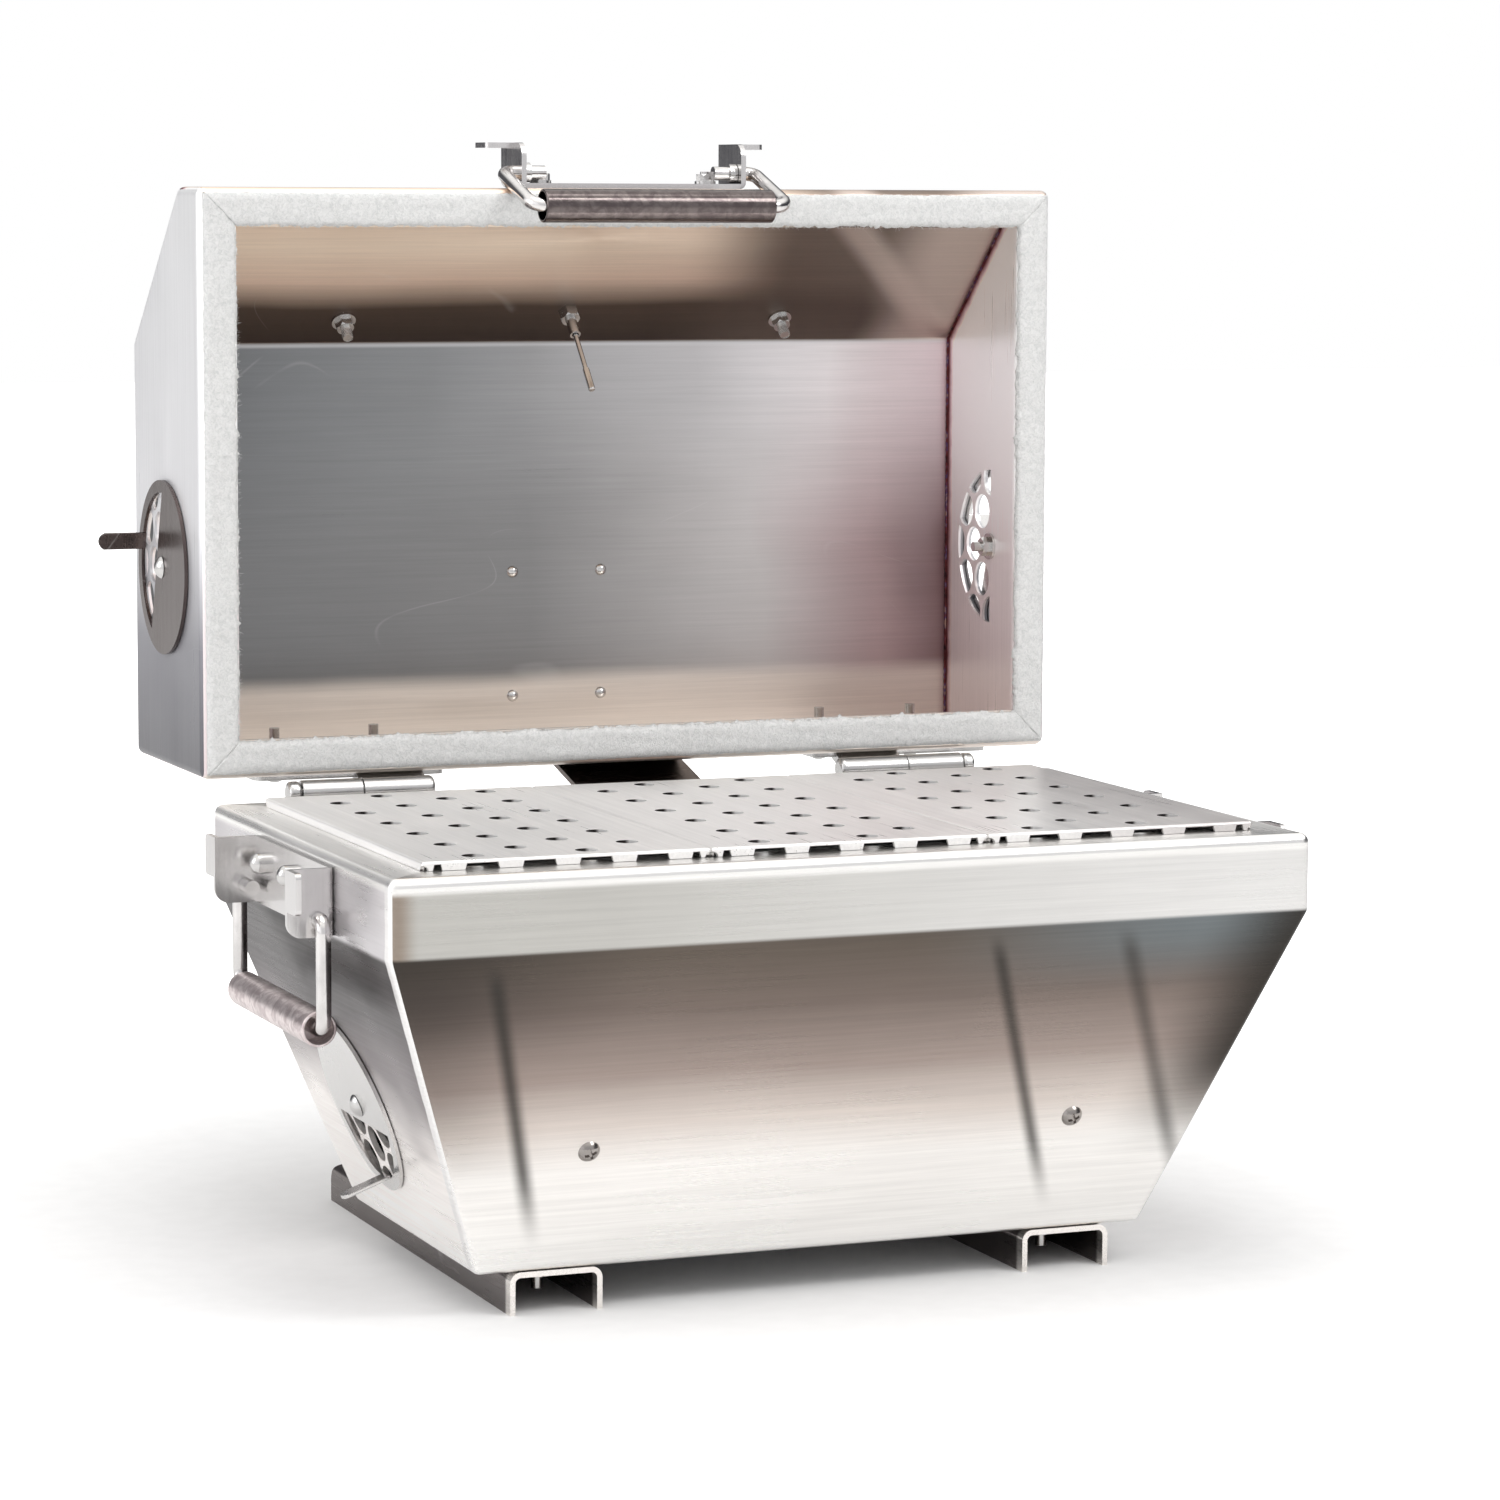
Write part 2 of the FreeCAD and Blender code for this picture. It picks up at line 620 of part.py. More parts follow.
def lid_panels():
    outer = prism_x([(-LID_Y, LID_RIM_Z), (LID_Y, LID_RIM_Z), (LID_Y, LID_TOP_Z),
                     (SLANT_Y, LID_TOP_Z), (-LID_Y, SLANT_Z)], -LID_X, LID_X)
    outer = outer.makeFillet(EDGE_R, outer.Edges)
    low, high = slant_inner_points()
    flange_top = LID_RIM_Z + SHEET
    inner = prism_x([(-LID_Y + SHEET, flange_top), (LID_Y - SHEET, flange_top),
                     (LID_Y - SHEET, LID_TOP_Z - SHEET), high, low], -LID_X + SHEET, LID_X - SHEET)
    inner = rounded(inner, EDGE_R - SHEET, lambda along, middle: abs(along.x) > 0.9)
    mouth_x = LID_X - LID_FLANGE
    mouth_y = LID_Y - LID_FLANGE
    mouth = box(-mouth_x, mouth_x, -mouth_y, mouth_y, LID_RIM_Z - 1, flange_top + 1)
    skin = outer.cut(inner).cut(mouth)

    far = 60.0
    mitre = prism_z([(LID_X - LID_Y, 0), (LID_X + far, -LID_Y - far), (LID_X + far, LID_Y + far)],
                    LID_RIM_Z - 1, flange_top)
    end_region = fuse([box(LID_X - SHEET, LID_X + 1, -LID_Y - 1, LID_Y + 1, flange_top, LID_TOP_Z + 1), mitre])
    right = skin.common(end_region)
    left = skin.common(mirror_x(end_region))
    shell = skin.cut(end_region).cut(mirror_x(end_region))
    return shell, right, left


def felt_strips():
    """Four flat felt strips under the rim flange, mitred at the corners."""
    out_x, out_y = LID_X - FELT_INSET, LID_Y - FELT_INSET
    in_x, in_y = LID_X - LID_FLANGE + 0.5, LID_Y - LID_FLANGE + 0.5
    z0, z1 = LID_RIM_Z - FELT, LID_RIM_Z
    slack = 0.1
    front = prism_z([(-out_x + slack, -out_y), (out_x - slack, -out_y),
                     (in_x - slack, -in_y), (-in_x + slack, -in_y)], z0, z1)
    back = front.mirror(V(0, 0, 0), V(0, 1, 0))
    right = prism_z([(out_x, -out_y + slack), (out_x, out_y - slack),
                     (in_x, in_y - slack), (in_x, -in_y + slack)], z0, z1)
    return front, back, right, mirror_x(right)


def stop_strap():
    bend = EDGE_R + SHEET
    top = box(-STRAP_HALF, STRAP_HALF, STRAP_FRONT_Y, LID_Y - EDGE_R, LID_TOP_Z, LID_TOP_Z + SHEET)
    top = rounded(top, 6.0, lambda along, middle: abs(along.z) > 0.9 and middle.y < STRAP_FRONT_Y + 1)
    centre_y, centre_z = LID_Y - EDGE_R, LID_TOP_Z - EDGE_R
    curve = rod(V(-STRAP_HALF, centre_y, centre_z), V(STRAP_HALF, centre_y, centre_z), bend)
    curve = curve.cut(rod(V(-STRAP_HALF, centre_y, centre_z), V(STRAP_HALF, centre_y, centre_z), EDGE_R + 0.01))
    curve = curve.common(box(-STRAP_HALF, STRAP_HALF, centre_y, centre_y + bend, centre_z, centre_z + bend))
    back = box(-STRAP_HALF, STRAP_HALF, LID_Y, LID_Y + SHEET, STRAP_FLARE_Z, centre_z)
    tip_y, tip_z = STRAP_TIP
    along = V(0, tip_y - LID_Y, tip_z - STRAP_FLARE_Z).normalize()
    across = V(0, -along.z, along.y) * SHEET
    flare = prism_x([(LID_Y, STRAP_FLARE_Z), (tip_y, tip_z), (tip_y + across.y, tip_z + across.z),
                     (LID_Y + across.y, STRAP_FLARE_Z + across.z)], -STRAP_HALF, STRAP_HALF)
    knee = prism_x([(LID_Y, STRAP_FLARE_Z), (LID_Y + across.y, STRAP_FLARE_Z + across.z),
                    (LID_Y + SHEET, STRAP_FLARE_Z)], -STRAP_HALF, STRAP_HALF)
    strap = fuse([top, curve, back, flare, knee])
    for x in RIVETS_X:
        for y in RIVETS_Y:
            strap = strap.cut(aim(drill(2.5, 20.0), V(x, y, LID_TOP_Z), V(0, 0, 1)))
    return strap


def rivets():
    made = []
    for x in RIVETS_X:
        for y in RIVETS_Y:
            shank = Part.makeCylinder(2.5, 2 * SHEET, V(x, y, LID_TOP_Z - SHEET))
            above = dome(4.5, RIVET_HEAD_H)
            above.translate(V(x, y, LID_TOP_Z + SHEET))
            below = dome(3.6, 2.0)
            below.rotate(V(0, 0, 0), V(1, 0, 0), 180)
            below.translate(V(x, y, LID_TOP_Z - SHEET))
            made.append(fuse([shank, above, below]))
    return made


# ------------------------------------------------------------------ hinges (right one, mirrored)
def barrel(x0, x1):
    whole = rod(V(x0, HINGE_Y, HINGE_Z), V(x1, HINGE_Y, HINGE_Z), BARREL_R)
    return rounded_ends(whole, 0.6)


def rounded_cap(x0, x1):
    """Barrel whose inner end, at x0, is a closed round nose."""
    whole = rod(V(x0, HINGE_Y, HINGE_Z), V(x1, HINGE_Y, HINGE_Z), BARREL_R)
    nose = [edge for edge in whole.Edges if edge.Closed and abs(edge.CenterOfMass.x - x0) < 0.1]
    return whole.makeFillet(BARREL_ROUND, nose)


def rounded_ends(cylinder, radius):
    rims = [edge for edge in cylinder.Edges if edge.Closed and edge.Curve.TypeId == "Part::GeomCircle"]
    return cylinder.makeFillet(radius, rims)


def pin_bore():
    return rod(V(BARREL_IN + 5.0, HINGE_Y, HINGE_Z), V(240, HINGE_Y, HINGE_Z), PIN_R + RUN)


def base_leaf():
    face_y = RIM_Y
    plate = box(LEAF_IN, LEAF_OUT, face_y, face_y + SHEET, BAND_Z + 2.0, 236.0)
    plate = rounded(plate, 5.0, lambda along, middle: abs(along.y) > 0.9)
    neck = prism_x([(face_y, 228.0), (face_y + SHEET, 228.0), (HINGE_Y - 0.5, HINGE_Z - BARREL_R + 0.8),
                    (HINGE_Y - 5.0, HINGE_Z - 4.0), (face_y, 235.5)], BARREL_MID + GAP, BARREL_OUT)
    leaf = fuse([plate, neck, barrel(BARREL_MID + GAP, BARREL_OUT)]).cut(pin_bore())
    for x in LEAF_BOLTS_X:
        leaf = leaf.cut(aim(drill(M6), V(x, RIM_Y, BASE_LEAF_BOLT_Z), V(0, 1, 0)))
    return leaf


def lid_leaf():
    face_y = LID_Y
    plate = box(LEAF_IN, LEAF_OUT, face_y, face_y + SHEET, 258.0, HINGE_Z + LEAF_BOLT_REACH + 15.0)
    plate = rounded(plate, 5.0, lambda along, middle: abs(along.y) > 0.9)
    neck = prism_x([(face_y, 266.0), (face_y + SHEET, 266.0), (HINGE_Y - 0.5, HINGE_Z + BARREL_R - 0.8),
                    (HINGE_Y - 5.0, HINGE_Z + 4.0), (face_y, 258.5)],
                   BARREL_IN + BARREL_ROUND, BARREL_MID - GAP)
    leaf = fuse([plate, neck, rounded_cap(BARREL_IN, BARREL_MID - GAP)]).cut(pin_bore())
    for x in LEAF_BOLTS_X:
        leaf = leaf.cut(aim(drill(M6), V(x, LID_Y, HINGE_Z + LEAF_BOLT_REACH), V(0, 1, 0)))
    return leaf


def hinge_pin():
    head_at = BARREL_OUT + 0.4
    shank = rod(V(BARREL_IN + 5.5, HINGE_Y, HINGE_Z), V(head_at + 2.0, HINGE_Y, HINGE_Z), PIN_R)
    head = rod(V(head_at, HINGE_Y, HINGE_Z), V(head_at + PIN_HEAD_L, HINGE_Y, HINGE_Z), PIN_HEAD_R)
    return fuse([shank, rounded_ends(head, 2.4)])


# ------------------------------------------------------------------ thermometer, drawn along +Z
CASE_R = 21.0
CASE_H = 12.0
DIAL_Z = 5.0
NEEDLE_Z = 6.6
STEM_L = 64.5
STEM_TIP = 16.0


def thermometer():
    case = Part.makeCylinder(CASE_R, CASE_H, V(0, 0, GAP))
    case = case.cut(Part.makeCylinder(CASE_R - 1.5, CASE_H, V(0, 0, GAP + 1.5)))
    sleeve = Part.makeCylinder(SLEEVE_R, 24.0, V(0, 0, -22.0))
    case = case.fuse(sleeve).cut(Part.makeCylinder(2.1, 40.0, V(0, 0, -30.0))).removeSplitter()
    dial = Part.makeCylinder(CASE_R - 1.6, 0.8, V(0, 0, DIAL_Z))
    dial = dial.cut(Part.makeCylinder(2.1, 10, V(0, 0, 0)))
    stem = Part.makeCylinder(1.5, STEM_L + DIAL_Z, V(0, 0, -STEM_L))
    tip = Part.makeCylinder(2.1, STEM_TIP, V(0, 0, -STEM_L - 0.5))
    tip = tip.makeFillet(0.9, [edge for edge in tip.Edges if edge.Closed and edge.CenterOfMass.z < -STEM_L])
    stem = stem.fuse(tip)
    stem = stem.fuse(Part.makeCylinder(1.0, 4.4, V(0, 0, DIAL_Z - 0.2))).removeSplitter()
    nut = hex_nut(11.0, 7.0, 0.0)
    nut.rotate(V(0, 0, 0), V(1, 0, 0), 180)
    nut.translate(V(0, 0, -SHEET))
    nut = nut.cut(Part.makeCylinder(SLEEVE_R + RUN, 40.0, V(0, 0, -20)))
    lens = Part.makeCylinder(CASE_R - 1.6, 1.5, V(0, 0, CASE_H - 1.4))
    bezel = Part.makeCylinder(CASE_R + 1.5, 4.0, V(0, 0, CASE_H - 3.2))
    bezel = rounded_ends(bezel, 1.2)
    bezel = bezel.cut(Part.makeCylinder(CASE_R + 0.05, 4.0, V(0, 0, CASE_H - 3.7)))
    bezel = bezel.cut(Part.makeCylinder(CASE_R - 3.2, 10.0, V(0, 0, CASE_H - 4.0)))
    blade = prism_z([(-1.4, -6.0), (1.4, -6.0), (0.5, 15.5), (-0.5, 15.5)], NEEDLE_Z, NEEDLE_Z + 0.6)
    tail = prism_z([(-2.8, -9.0), (2.8, -9.0), (1.9, -4.5), (-1.9, -4.5)], NEEDLE_Z, NEEDLE_Z + 0.6)
    hub = Part.makeCylinder(2.6, 1.6, V(0, 0, NEEDLE_Z - 0.3))
    needle = fuse([blade, tail, hub]).cut(Part.makeCylinder(1.0 + RUN, 10, V(0, 0, NEEDLE_Z - 2)))
    needle.rotate(V(0, 0, 0), V(0, 0, 1), 125)
    return case, dial, stem, nut, lens, bezel, needle


# ================================================================== build: firebox body
front, back, right_side, left_side, floor = firebox_panels()
front_screws, back_screws = rail_screw_points()
for point in front_screws:
    front = front.cut(aim(drill(M6), point, FRONT_NORMAL))
for point in back_screws:
    back = back.cut(aim(drill(M6), point, BACK_NORMAL))
for x in LEAF_BOLTS_X + tuple(-x for x in LEAF_BOLTS_X):
    back = back.cut(aim(drill(M6, 20.0), V(x, RIM_Y, BASE_LEAF_BOLT_Z), V(0, 1, 0)))
for y in FOOT_BOLTS_Y:
    for x in (-FOOT_X, FOOT_X):
        floor = floor.cut(aim(drill(M6, 20.0), V(x, y, FLOOR_Z), V(0, 0, 1)))
side_cutters = [on_side(vent_holes()), on_side(drill(M6))]
for y in (-BRACKET_BOLTS_X, 0.0, BRACKET_BOLTS_X):
    side_cutters.append(aim(drill(M6, 20.0), V(RIM_X, y, BAND_Z + 23.0), V(1, 0, 0)))
for cutter in side_cutters:
    right_side = right_side.cut(cutter)
    left_side = left_side.cut(mirror_x(cutter))

save("firebox_front", front)
save("firebox_back", back)
save("firebox_right", right_side)
save("firebox_left", left_side)
save("firebox_floor", floor)

foot_right = foot()
save("foot_right", foot_right)
save("foot_left", mirror_x(foot_right))
foot_bolt = bolt(M6, 2 * SHEET, 6.5, 3.6, 10.0, 5.0, 6.5, washer_r=6.2)
save("foot_fasteners", [
    aim(foot_bolt, V(x, y, FLOOR_Z + SHEET), V(0, 0, 1))
    for x in (-FOOT_X, FOOT_X) for y in FOOT_BOLTS_Y
])

bracket = ear_bracket()
side_bracket = bracket
for x in (-BRACKET_BOLTS_X, 0.0, BRACKET_BOLTS_X):
    side_bracket = side_bracket.cut(aim(drill(M6, 20.0), V(x, 0, 23.0), V(0, -1, 0)))
side_bracket = on_right_side(side_bracket)
save("side_bracket_right", side_bracket)
save("side_bracket_left", mirror_x(side_bracket))
band_bolt = bolt(M6, 2 * SHEET, 5.6, 8.0, 10.0, 5.0, 3.0)
side_bolts = [
    aim(band_bolt, V(RIM_X + SHEET, y, BAND_Z + 23.0), V(1, 0, 0))
    for y in (-BRACKET_BOLTS_X, 0.0, BRACKET_BOLTS_X)
]
save("side_bracket_fasteners", side_bolts + [mirror_x(one) for one in side_bolts])

rail_front, rail_back = charcoal_rails()
save("charcoal_rail_front", rail_front)
save("charcoal_rail_back", rail_back)
rail_screw = bolt(M6, SHEET + 2.1, 6.0, 3.6, 10.0, 5.0, 3.0, recess=True)
save("rail_fasteners", [aim(rail_screw, point, FRONT_NORMAL, 20.0) for point in front_screws]
     + [aim(rail_screw, point, BACK_NORMAL, 20.0) for point in back_screws])
save("charcoal_grate", charcoal_grate())

leaf_down = base_leaf()
save("hinge_base_leaf_right", leaf_down)
save("hinge_base_leaf_left", mirror_x(leaf_down))
leaf_bolt = bolt(M6, 2 * SHEET, 7.0, 4.2, 10.0, 5.0, 4.0)
save("hinge_base_fasteners", [
    aim(leaf_bolt, V(side * x, RIM_Y + SHEET, BASE_LEAF_BOLT_Z), V(0, 1, 0))
    for side in (-1, 1) for x in LEAF_BOLTS_X
])
save("firebox_vent_fasteners", both(on_side(vent_bolt())))

# ================================================================== build: loose pieces of the firebox
disc = vent_disc()
firebox_disc = on_side(disc, DISC_GAP)
save("vent_disc_firebox_right", firebox_disc)
save("vent_disc_firebox_left", mirror_x(firebox_disc))
rod_shape = bail_rod()
grip_shape = grip_tube()
save("bail_right", on_right_side(rod_shape))
save("bail_left", mirror_x(on_right_side(rod_shape)))
save("grip_right", on_right_side(grip_shape))
save("grip_left", mirror_x(on_right_side(grip_shape)))
save("cooking_grate_left", cooking_grate(-GRATE_PITCH))
save("cooking_grate_centre", cooking_grate(0.0))
save("cooking_grate_right", cooking_grate(GRATE_PITCH))

# ================================================================== build: lid body
shell, end_right, end_left = lid_panels()
slant_bolts = [on_slant(-RAIL_SCREW_X, SLANT_BOLT_SHARE), on_slant(RAIL_SCREW_X, SLANT_BOLT_SHARE)]
gauge_at = on_slant(0.0, GAUGE_SHARE)
for point in slant_bolts:
    shell = shell.cut(aim(drill(M6, 20.0), point, SLANT_NORMAL))
shell = shell.cut(aim(drill(SLEEVE_R, 20.0), gauge_at, SLANT_NORMAL))
for x in RIVETS_X:
    for y in RIVETS_Y:
        shell = shell.cut(aim(drill(2.5, 20.0), V(x, y, LID_TOP_Z), V(0, 0, 1)))
for x in LEAF_BOLTS_X + tuple(-x for x in LEAF_BOLTS_X):
    shell = shell.cut(aim(drill(M6, 20.0), V(x, LID_Y, HINGE_Z + LEAF_BOLT_REACH), V(0, 1, 0)))
bracket_bolt_z = LID_BRACKET_Z + 19.0
for x in (-BRACKET_BOLTS_X, BRACKET_BOLTS_X):
    shell = shell.cut(aim(drill(M6, 20.0), V(x, -LID_Y, bracket_bolt_z), V(0, -1, 0)))
for cutter in (on_lid_end(vent_holes()), on_lid_end(drill(M6))):
    end_right = end_right.cut(cutter)
    end_left = end_left.cut(mirror_x(cutter))
save("lid_shell", opened(shell))
save("lid_end_right", opened(end_right))
save("lid_end_left", opened(end_left))

for name, strip in zip(("felt_front", "felt_back", "felt_right", "felt_left"), felt_strips()):
    save(name, opened(strip))

lid_bracket = bracket
for x in (-BRACKET_BOLTS_X, BRACKET_BOLTS_X):
    lid_bracket = lid_bracket.cut(aim(drill(M6, 20.0), V(x, 0, 19.0), V(0, -1, 0)))
save("lid_bracket", opened(on_lid_front(lid_bracket)))
inside_bolt = bolt(M6, 2 * SHEET, 6.5, 3.6, 10.0, 4.0, 1.5, washer_r=6.2)
save("lid_bracket_fasteners", opened([
    aim(inside_bolt, V(x, -LID_Y + SHEET, bracket_bolt_z), V(0, 1, 0))
    for x in (-BRACKET_BOLTS_X, BRACKET_BOLTS_X)
]))

leaf_up = lid_leaf()
save("hinge_lid_leaf_right", opened(leaf_up))
save("hinge_lid_leaf_left", opened(mirror_x(leaf_up)))
save("hinge_pins", opened(both(hinge_pin())))
lid_leaf_bolt = bolt(M6, 2 * SHEET, 8.0, 7.9, 10.0, 6.0, 12.0)
save("hinge_lid_fasteners", opened([
    aim(lid_leaf_bolt, V(side * x, LID_Y + SHEET, HINGE_Z + LEAF_BOLT_REACH), V(0, 1, 0))
    for side in (-1, 1) for x in LEAF_BOLTS_X
]))
save("lid_stop_strap", opened(stop_strap()))
save("lid_rivets", opened(rivets()))
slant_bolt = bolt(M6, SHEET, 7.0, 4.6, 10.0, 5.2, 7.2, washer_r=7.2)
save("slant_fasteners", opened([aim(slant_bolt, point, SLANT_NORMAL) for point in slant_bolts]))
save("lid_vent_fasteners", opened(both(on_lid_end(vent_bolt()))))
lid_disc = on_lid_end(disc, DISC_GAP, LID_DISC_TURN)
save("vent_disc_lid_right", opened(lid_disc))
save("vent_disc_lid_left", opened(mirror_x(lid_disc)))

gauge = [aim(piece, gauge_at, SLANT_NORMAL) for piece in thermometer()]
gauge_names = ("thermometer_case", "thermometer_dial", "thermometer_stem", "thermometer_nut",
               "thermometer_lens", "thermometer_bezel", "thermometer_needle")
for name, piece in zip(gauge_names, gauge):
    save(name, opened(piece))

# ================================================================== build: lid handle
save("bail_lid", opened(on_lid_front(rod_shape, LID_BAIL_DROOP)))
lid_grip = grip_shape.copy()
lid_grip.translate(V(LID_GRIP_SLIDE, 0, 0))
save("grip_lid", opened(on_lid_front(lid_grip, LID_BAIL_DROOP)))
save("bail_pivot_washers", opened([on_lid_front(ring) for ring in pivot_washers()]))
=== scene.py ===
import json
import math
import random

import bmesh
import bpy
from mathutils import Matrix, Vector


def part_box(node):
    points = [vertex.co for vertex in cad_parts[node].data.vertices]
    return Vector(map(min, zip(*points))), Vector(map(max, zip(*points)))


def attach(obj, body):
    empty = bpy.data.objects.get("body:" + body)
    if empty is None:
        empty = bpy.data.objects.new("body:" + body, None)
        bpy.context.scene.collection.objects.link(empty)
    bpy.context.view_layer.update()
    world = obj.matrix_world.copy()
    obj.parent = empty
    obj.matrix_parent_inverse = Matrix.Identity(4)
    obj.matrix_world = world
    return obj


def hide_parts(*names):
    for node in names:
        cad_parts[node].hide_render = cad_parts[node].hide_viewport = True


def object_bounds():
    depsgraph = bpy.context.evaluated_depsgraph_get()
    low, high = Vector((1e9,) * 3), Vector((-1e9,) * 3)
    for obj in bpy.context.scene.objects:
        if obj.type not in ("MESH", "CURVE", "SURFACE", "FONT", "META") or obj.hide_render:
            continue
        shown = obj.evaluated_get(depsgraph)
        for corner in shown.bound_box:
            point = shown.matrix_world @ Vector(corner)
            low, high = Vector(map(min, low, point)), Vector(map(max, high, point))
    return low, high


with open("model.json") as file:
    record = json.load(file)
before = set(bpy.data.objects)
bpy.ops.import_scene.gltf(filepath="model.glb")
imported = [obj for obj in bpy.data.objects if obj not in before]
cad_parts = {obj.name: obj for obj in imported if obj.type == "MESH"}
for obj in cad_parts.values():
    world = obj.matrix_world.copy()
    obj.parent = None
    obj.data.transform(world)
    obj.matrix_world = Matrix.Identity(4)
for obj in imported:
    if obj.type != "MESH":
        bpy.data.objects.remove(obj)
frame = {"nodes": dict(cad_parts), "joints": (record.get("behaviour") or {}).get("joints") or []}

LOW0, HIGH0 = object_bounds()
NODES = frame["nodes"]
MM = 0.001
SEED = 7


# ------------------------------------------------------------------ where things are, from the frame
RIM_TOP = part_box("firebox_front")[1].z
RIM_FRONT = LOW0.y
FLOOR_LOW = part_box("firebox_floor")[0]
FLOOR_Z = FLOOR_LOW.z
BRACKET_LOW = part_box("side_bracket_right")[0]
BAND_LOW = BRACKET_LOW.z
RIM_X = BRACKET_LOW.x
GRATE_LOW, GRATE_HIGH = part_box("cooking_grate_centre")
GRATES_MIDDLE = (GRATE_LOW.y + GRATE_HIGH.y) / 2
END_LOW, END_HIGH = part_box("lid_end_right")
FELT_FRONT_LOW, FELT_FRONT_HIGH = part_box("felt_front")

SHEET = 3.0 * MM
SLOPE_IN, SLOPE_DOWN = 67.0 * MM, 179.0 * MM
CORNER_RATIO = SLOPE_IN / SLOPE_DOWN

LID_X = END_HIGH.x
LID_BACK = END_HIGH.y
LID_LOW = END_LOW.z
LID_TOP = END_HIGH.z
SLANT_FROM_TOP = 90.0 * MM
SLANT_FROM_BACK = 99.0 * MM
SLANT_LOW_Z = LID_TOP - SLANT_FROM_TOP
SLANT_LEN = math.hypot(SLANT_FROM_TOP, SLANT_FROM_BACK)
SLANT_OUT = Vector((0, SLANT_FROM_TOP / SLANT_LEN, SLANT_FROM_BACK / SLANT_LEN))


# ------------------------------------------------------------------ node graphs
class Graph:
    """A material's node tree, with short calls for the nodes used here."""

    def __init__(self, name):
        self.material = bpy.data.materials.new(name)
        self.material.use_nodes = True
        self.tree = self.material.node_tree
        self.tree.nodes.clear()
        self.bsdf = self.add("ShaderNodeBsdfPrincipled")
        out = self.add("ShaderNodeOutputMaterial")
        self.tree.links.new(self.bsdf.outputs[0], out.inputs[0])
        self.coords = self.add("ShaderNodeTexCoord").outputs["Object"]
        split = self.add("ShaderNodeSeparateXYZ")
        self.tree.links.new(self.coords, split.inputs[0])
        self.x, self.y, self.z = split.outputs

    def add(self, kind, **settings):
        node = self.tree.nodes.new(kind)
        for key, value in settings.items():
            setattr(node, key, value)
        return node

    def feed(self, socket, value):
        if isinstance(value, bpy.types.NodeSocket):
            self.tree.links.new(value, socket)
        else:
            socket.default_value = value

    def math(self, operation, a, b=0.0):
        node = self.add("ShaderNodeMath", operation=operation)
        for socket, value in zip(node.inputs, (a, b)):
            self.feed(socket, value)
        return node.outputs[0]

    def plus(self, a, b):
        return self.math("ADD", a, b)

    def minus(self, a, b):
        return self.math("SUBTRACT", a, b)

    def times(self, a, b):
        return self.math("MULTIPLY", a, b)

    def size_of(self, a):
        return self.math("ABSOLUTE", a)

    def stretched(self, sx, sy, sz):
        node = self.add("ShaderNodeVectorMath", operation="MULTIPLY")
        self.feed(node.inputs[0], self.coords)
        node.inputs[1].default_value = (sx, sy, sz)
        return node.outputs[0]

    def noise(self, vector, scale, detail=2.0, rough=0.5, distortion=0.0):
        node = self.add("ShaderNodeTexNoise")
        self.feed(node.inputs["Vector"], vector)
        self.feed(node.inputs["Scale"], scale)
        self.feed(node.inputs["Detail"], detail)
        self.feed(node.inputs["Roughness"], rough)
        self.feed(node.inputs["Distortion"], distortion)
        return node.outputs["Fac"]

    def wobble(self, stretch, reach, detail=2.0):
        """Slow noise centred on zero and reach wide, stretched by stretch along x, y and z."""
        return self.times(self.minus(self.noise(self.stretched(*stretch), 1.0, detail), 0.5), reach)

    def span(self, value, low, high, to_low=0.0, to_high=1.0, smooth=True):
        """Maps low..high of a value to to_low..to_high, held at the ends."""
        node = self.add("ShaderNodeMapRange", interpolation_type="SMOOTHSTEP" if smooth else "LINEAR")
        for socket, item in zip(node.inputs, (value, low, high, to_low, to_high)):
            self.feed(socket, item)
        return node.outputs[0]

    def ramp(self, value, stops):
        node = self.add("ShaderNodeValToRGB")
        elements = node.color_ramp.elements
        while len(elements) < len(stops):
            elements.new(0.5)
        for element, (place, colour) in zip(elements, stops):
            element.position = place
            element.color = (*colour, 1.0)
        self.feed(node.inputs[0], value)
        return node.outputs[0]

    def mix(self, amount, a, b, blend="MIX"):
        node = self.add("ShaderNodeMix", data_type="RGBA", blend_type=blend)
        self.feed(node.inputs[0], amount)
        for socket, value in zip((node.inputs[6], node.inputs[7]), (a, b)):
            self.feed(socket, value if isinstance(value, bpy.types.NodeSocket) else (*value, 1.0))
        return node.outputs[2]

    def turned_to(self, axis):
        """Component of the surface normal along one axis, 0 x, 1 y, 2 z."""
        split = self.add("ShaderNodeSeparateXYZ")
        self.feed(split.inputs[0], self.add("ShaderNodeNewGeometry").outputs["Normal"])
        return split.outputs[axis]

    def bump(self, height, strength, distance):
        node = self.add("ShaderNodeBump")
        self.feed(node.inputs["Height"], height)
        node.inputs["Strength"].default_value = strength
        node.inputs["Distance"].default_value = distance
        self.feed(self.bsdf.inputs["Normal"], node.outputs[0])


GRAIN_RUN, GRAIN_CROSS, FINER = 9.0, 520.0, 3.1


def grain_fields(g, along):
    """Long fine brush lines along one axis: (broad streaks, fine lines)."""
    broad_scale = tuple(GRAIN_RUN if axis == along else GRAIN_CROSS for axis in "XYZ")
    fine_scale = tuple(FINER * value for value in broad_scale)
    broad = g.noise(g.stretched(*broad_scale), 1.0, 3.0, 0.6)
    fine = g.noise(g.stretched(*fine_scale), 1.0, 2.0, 0.7)
    return broad, fine


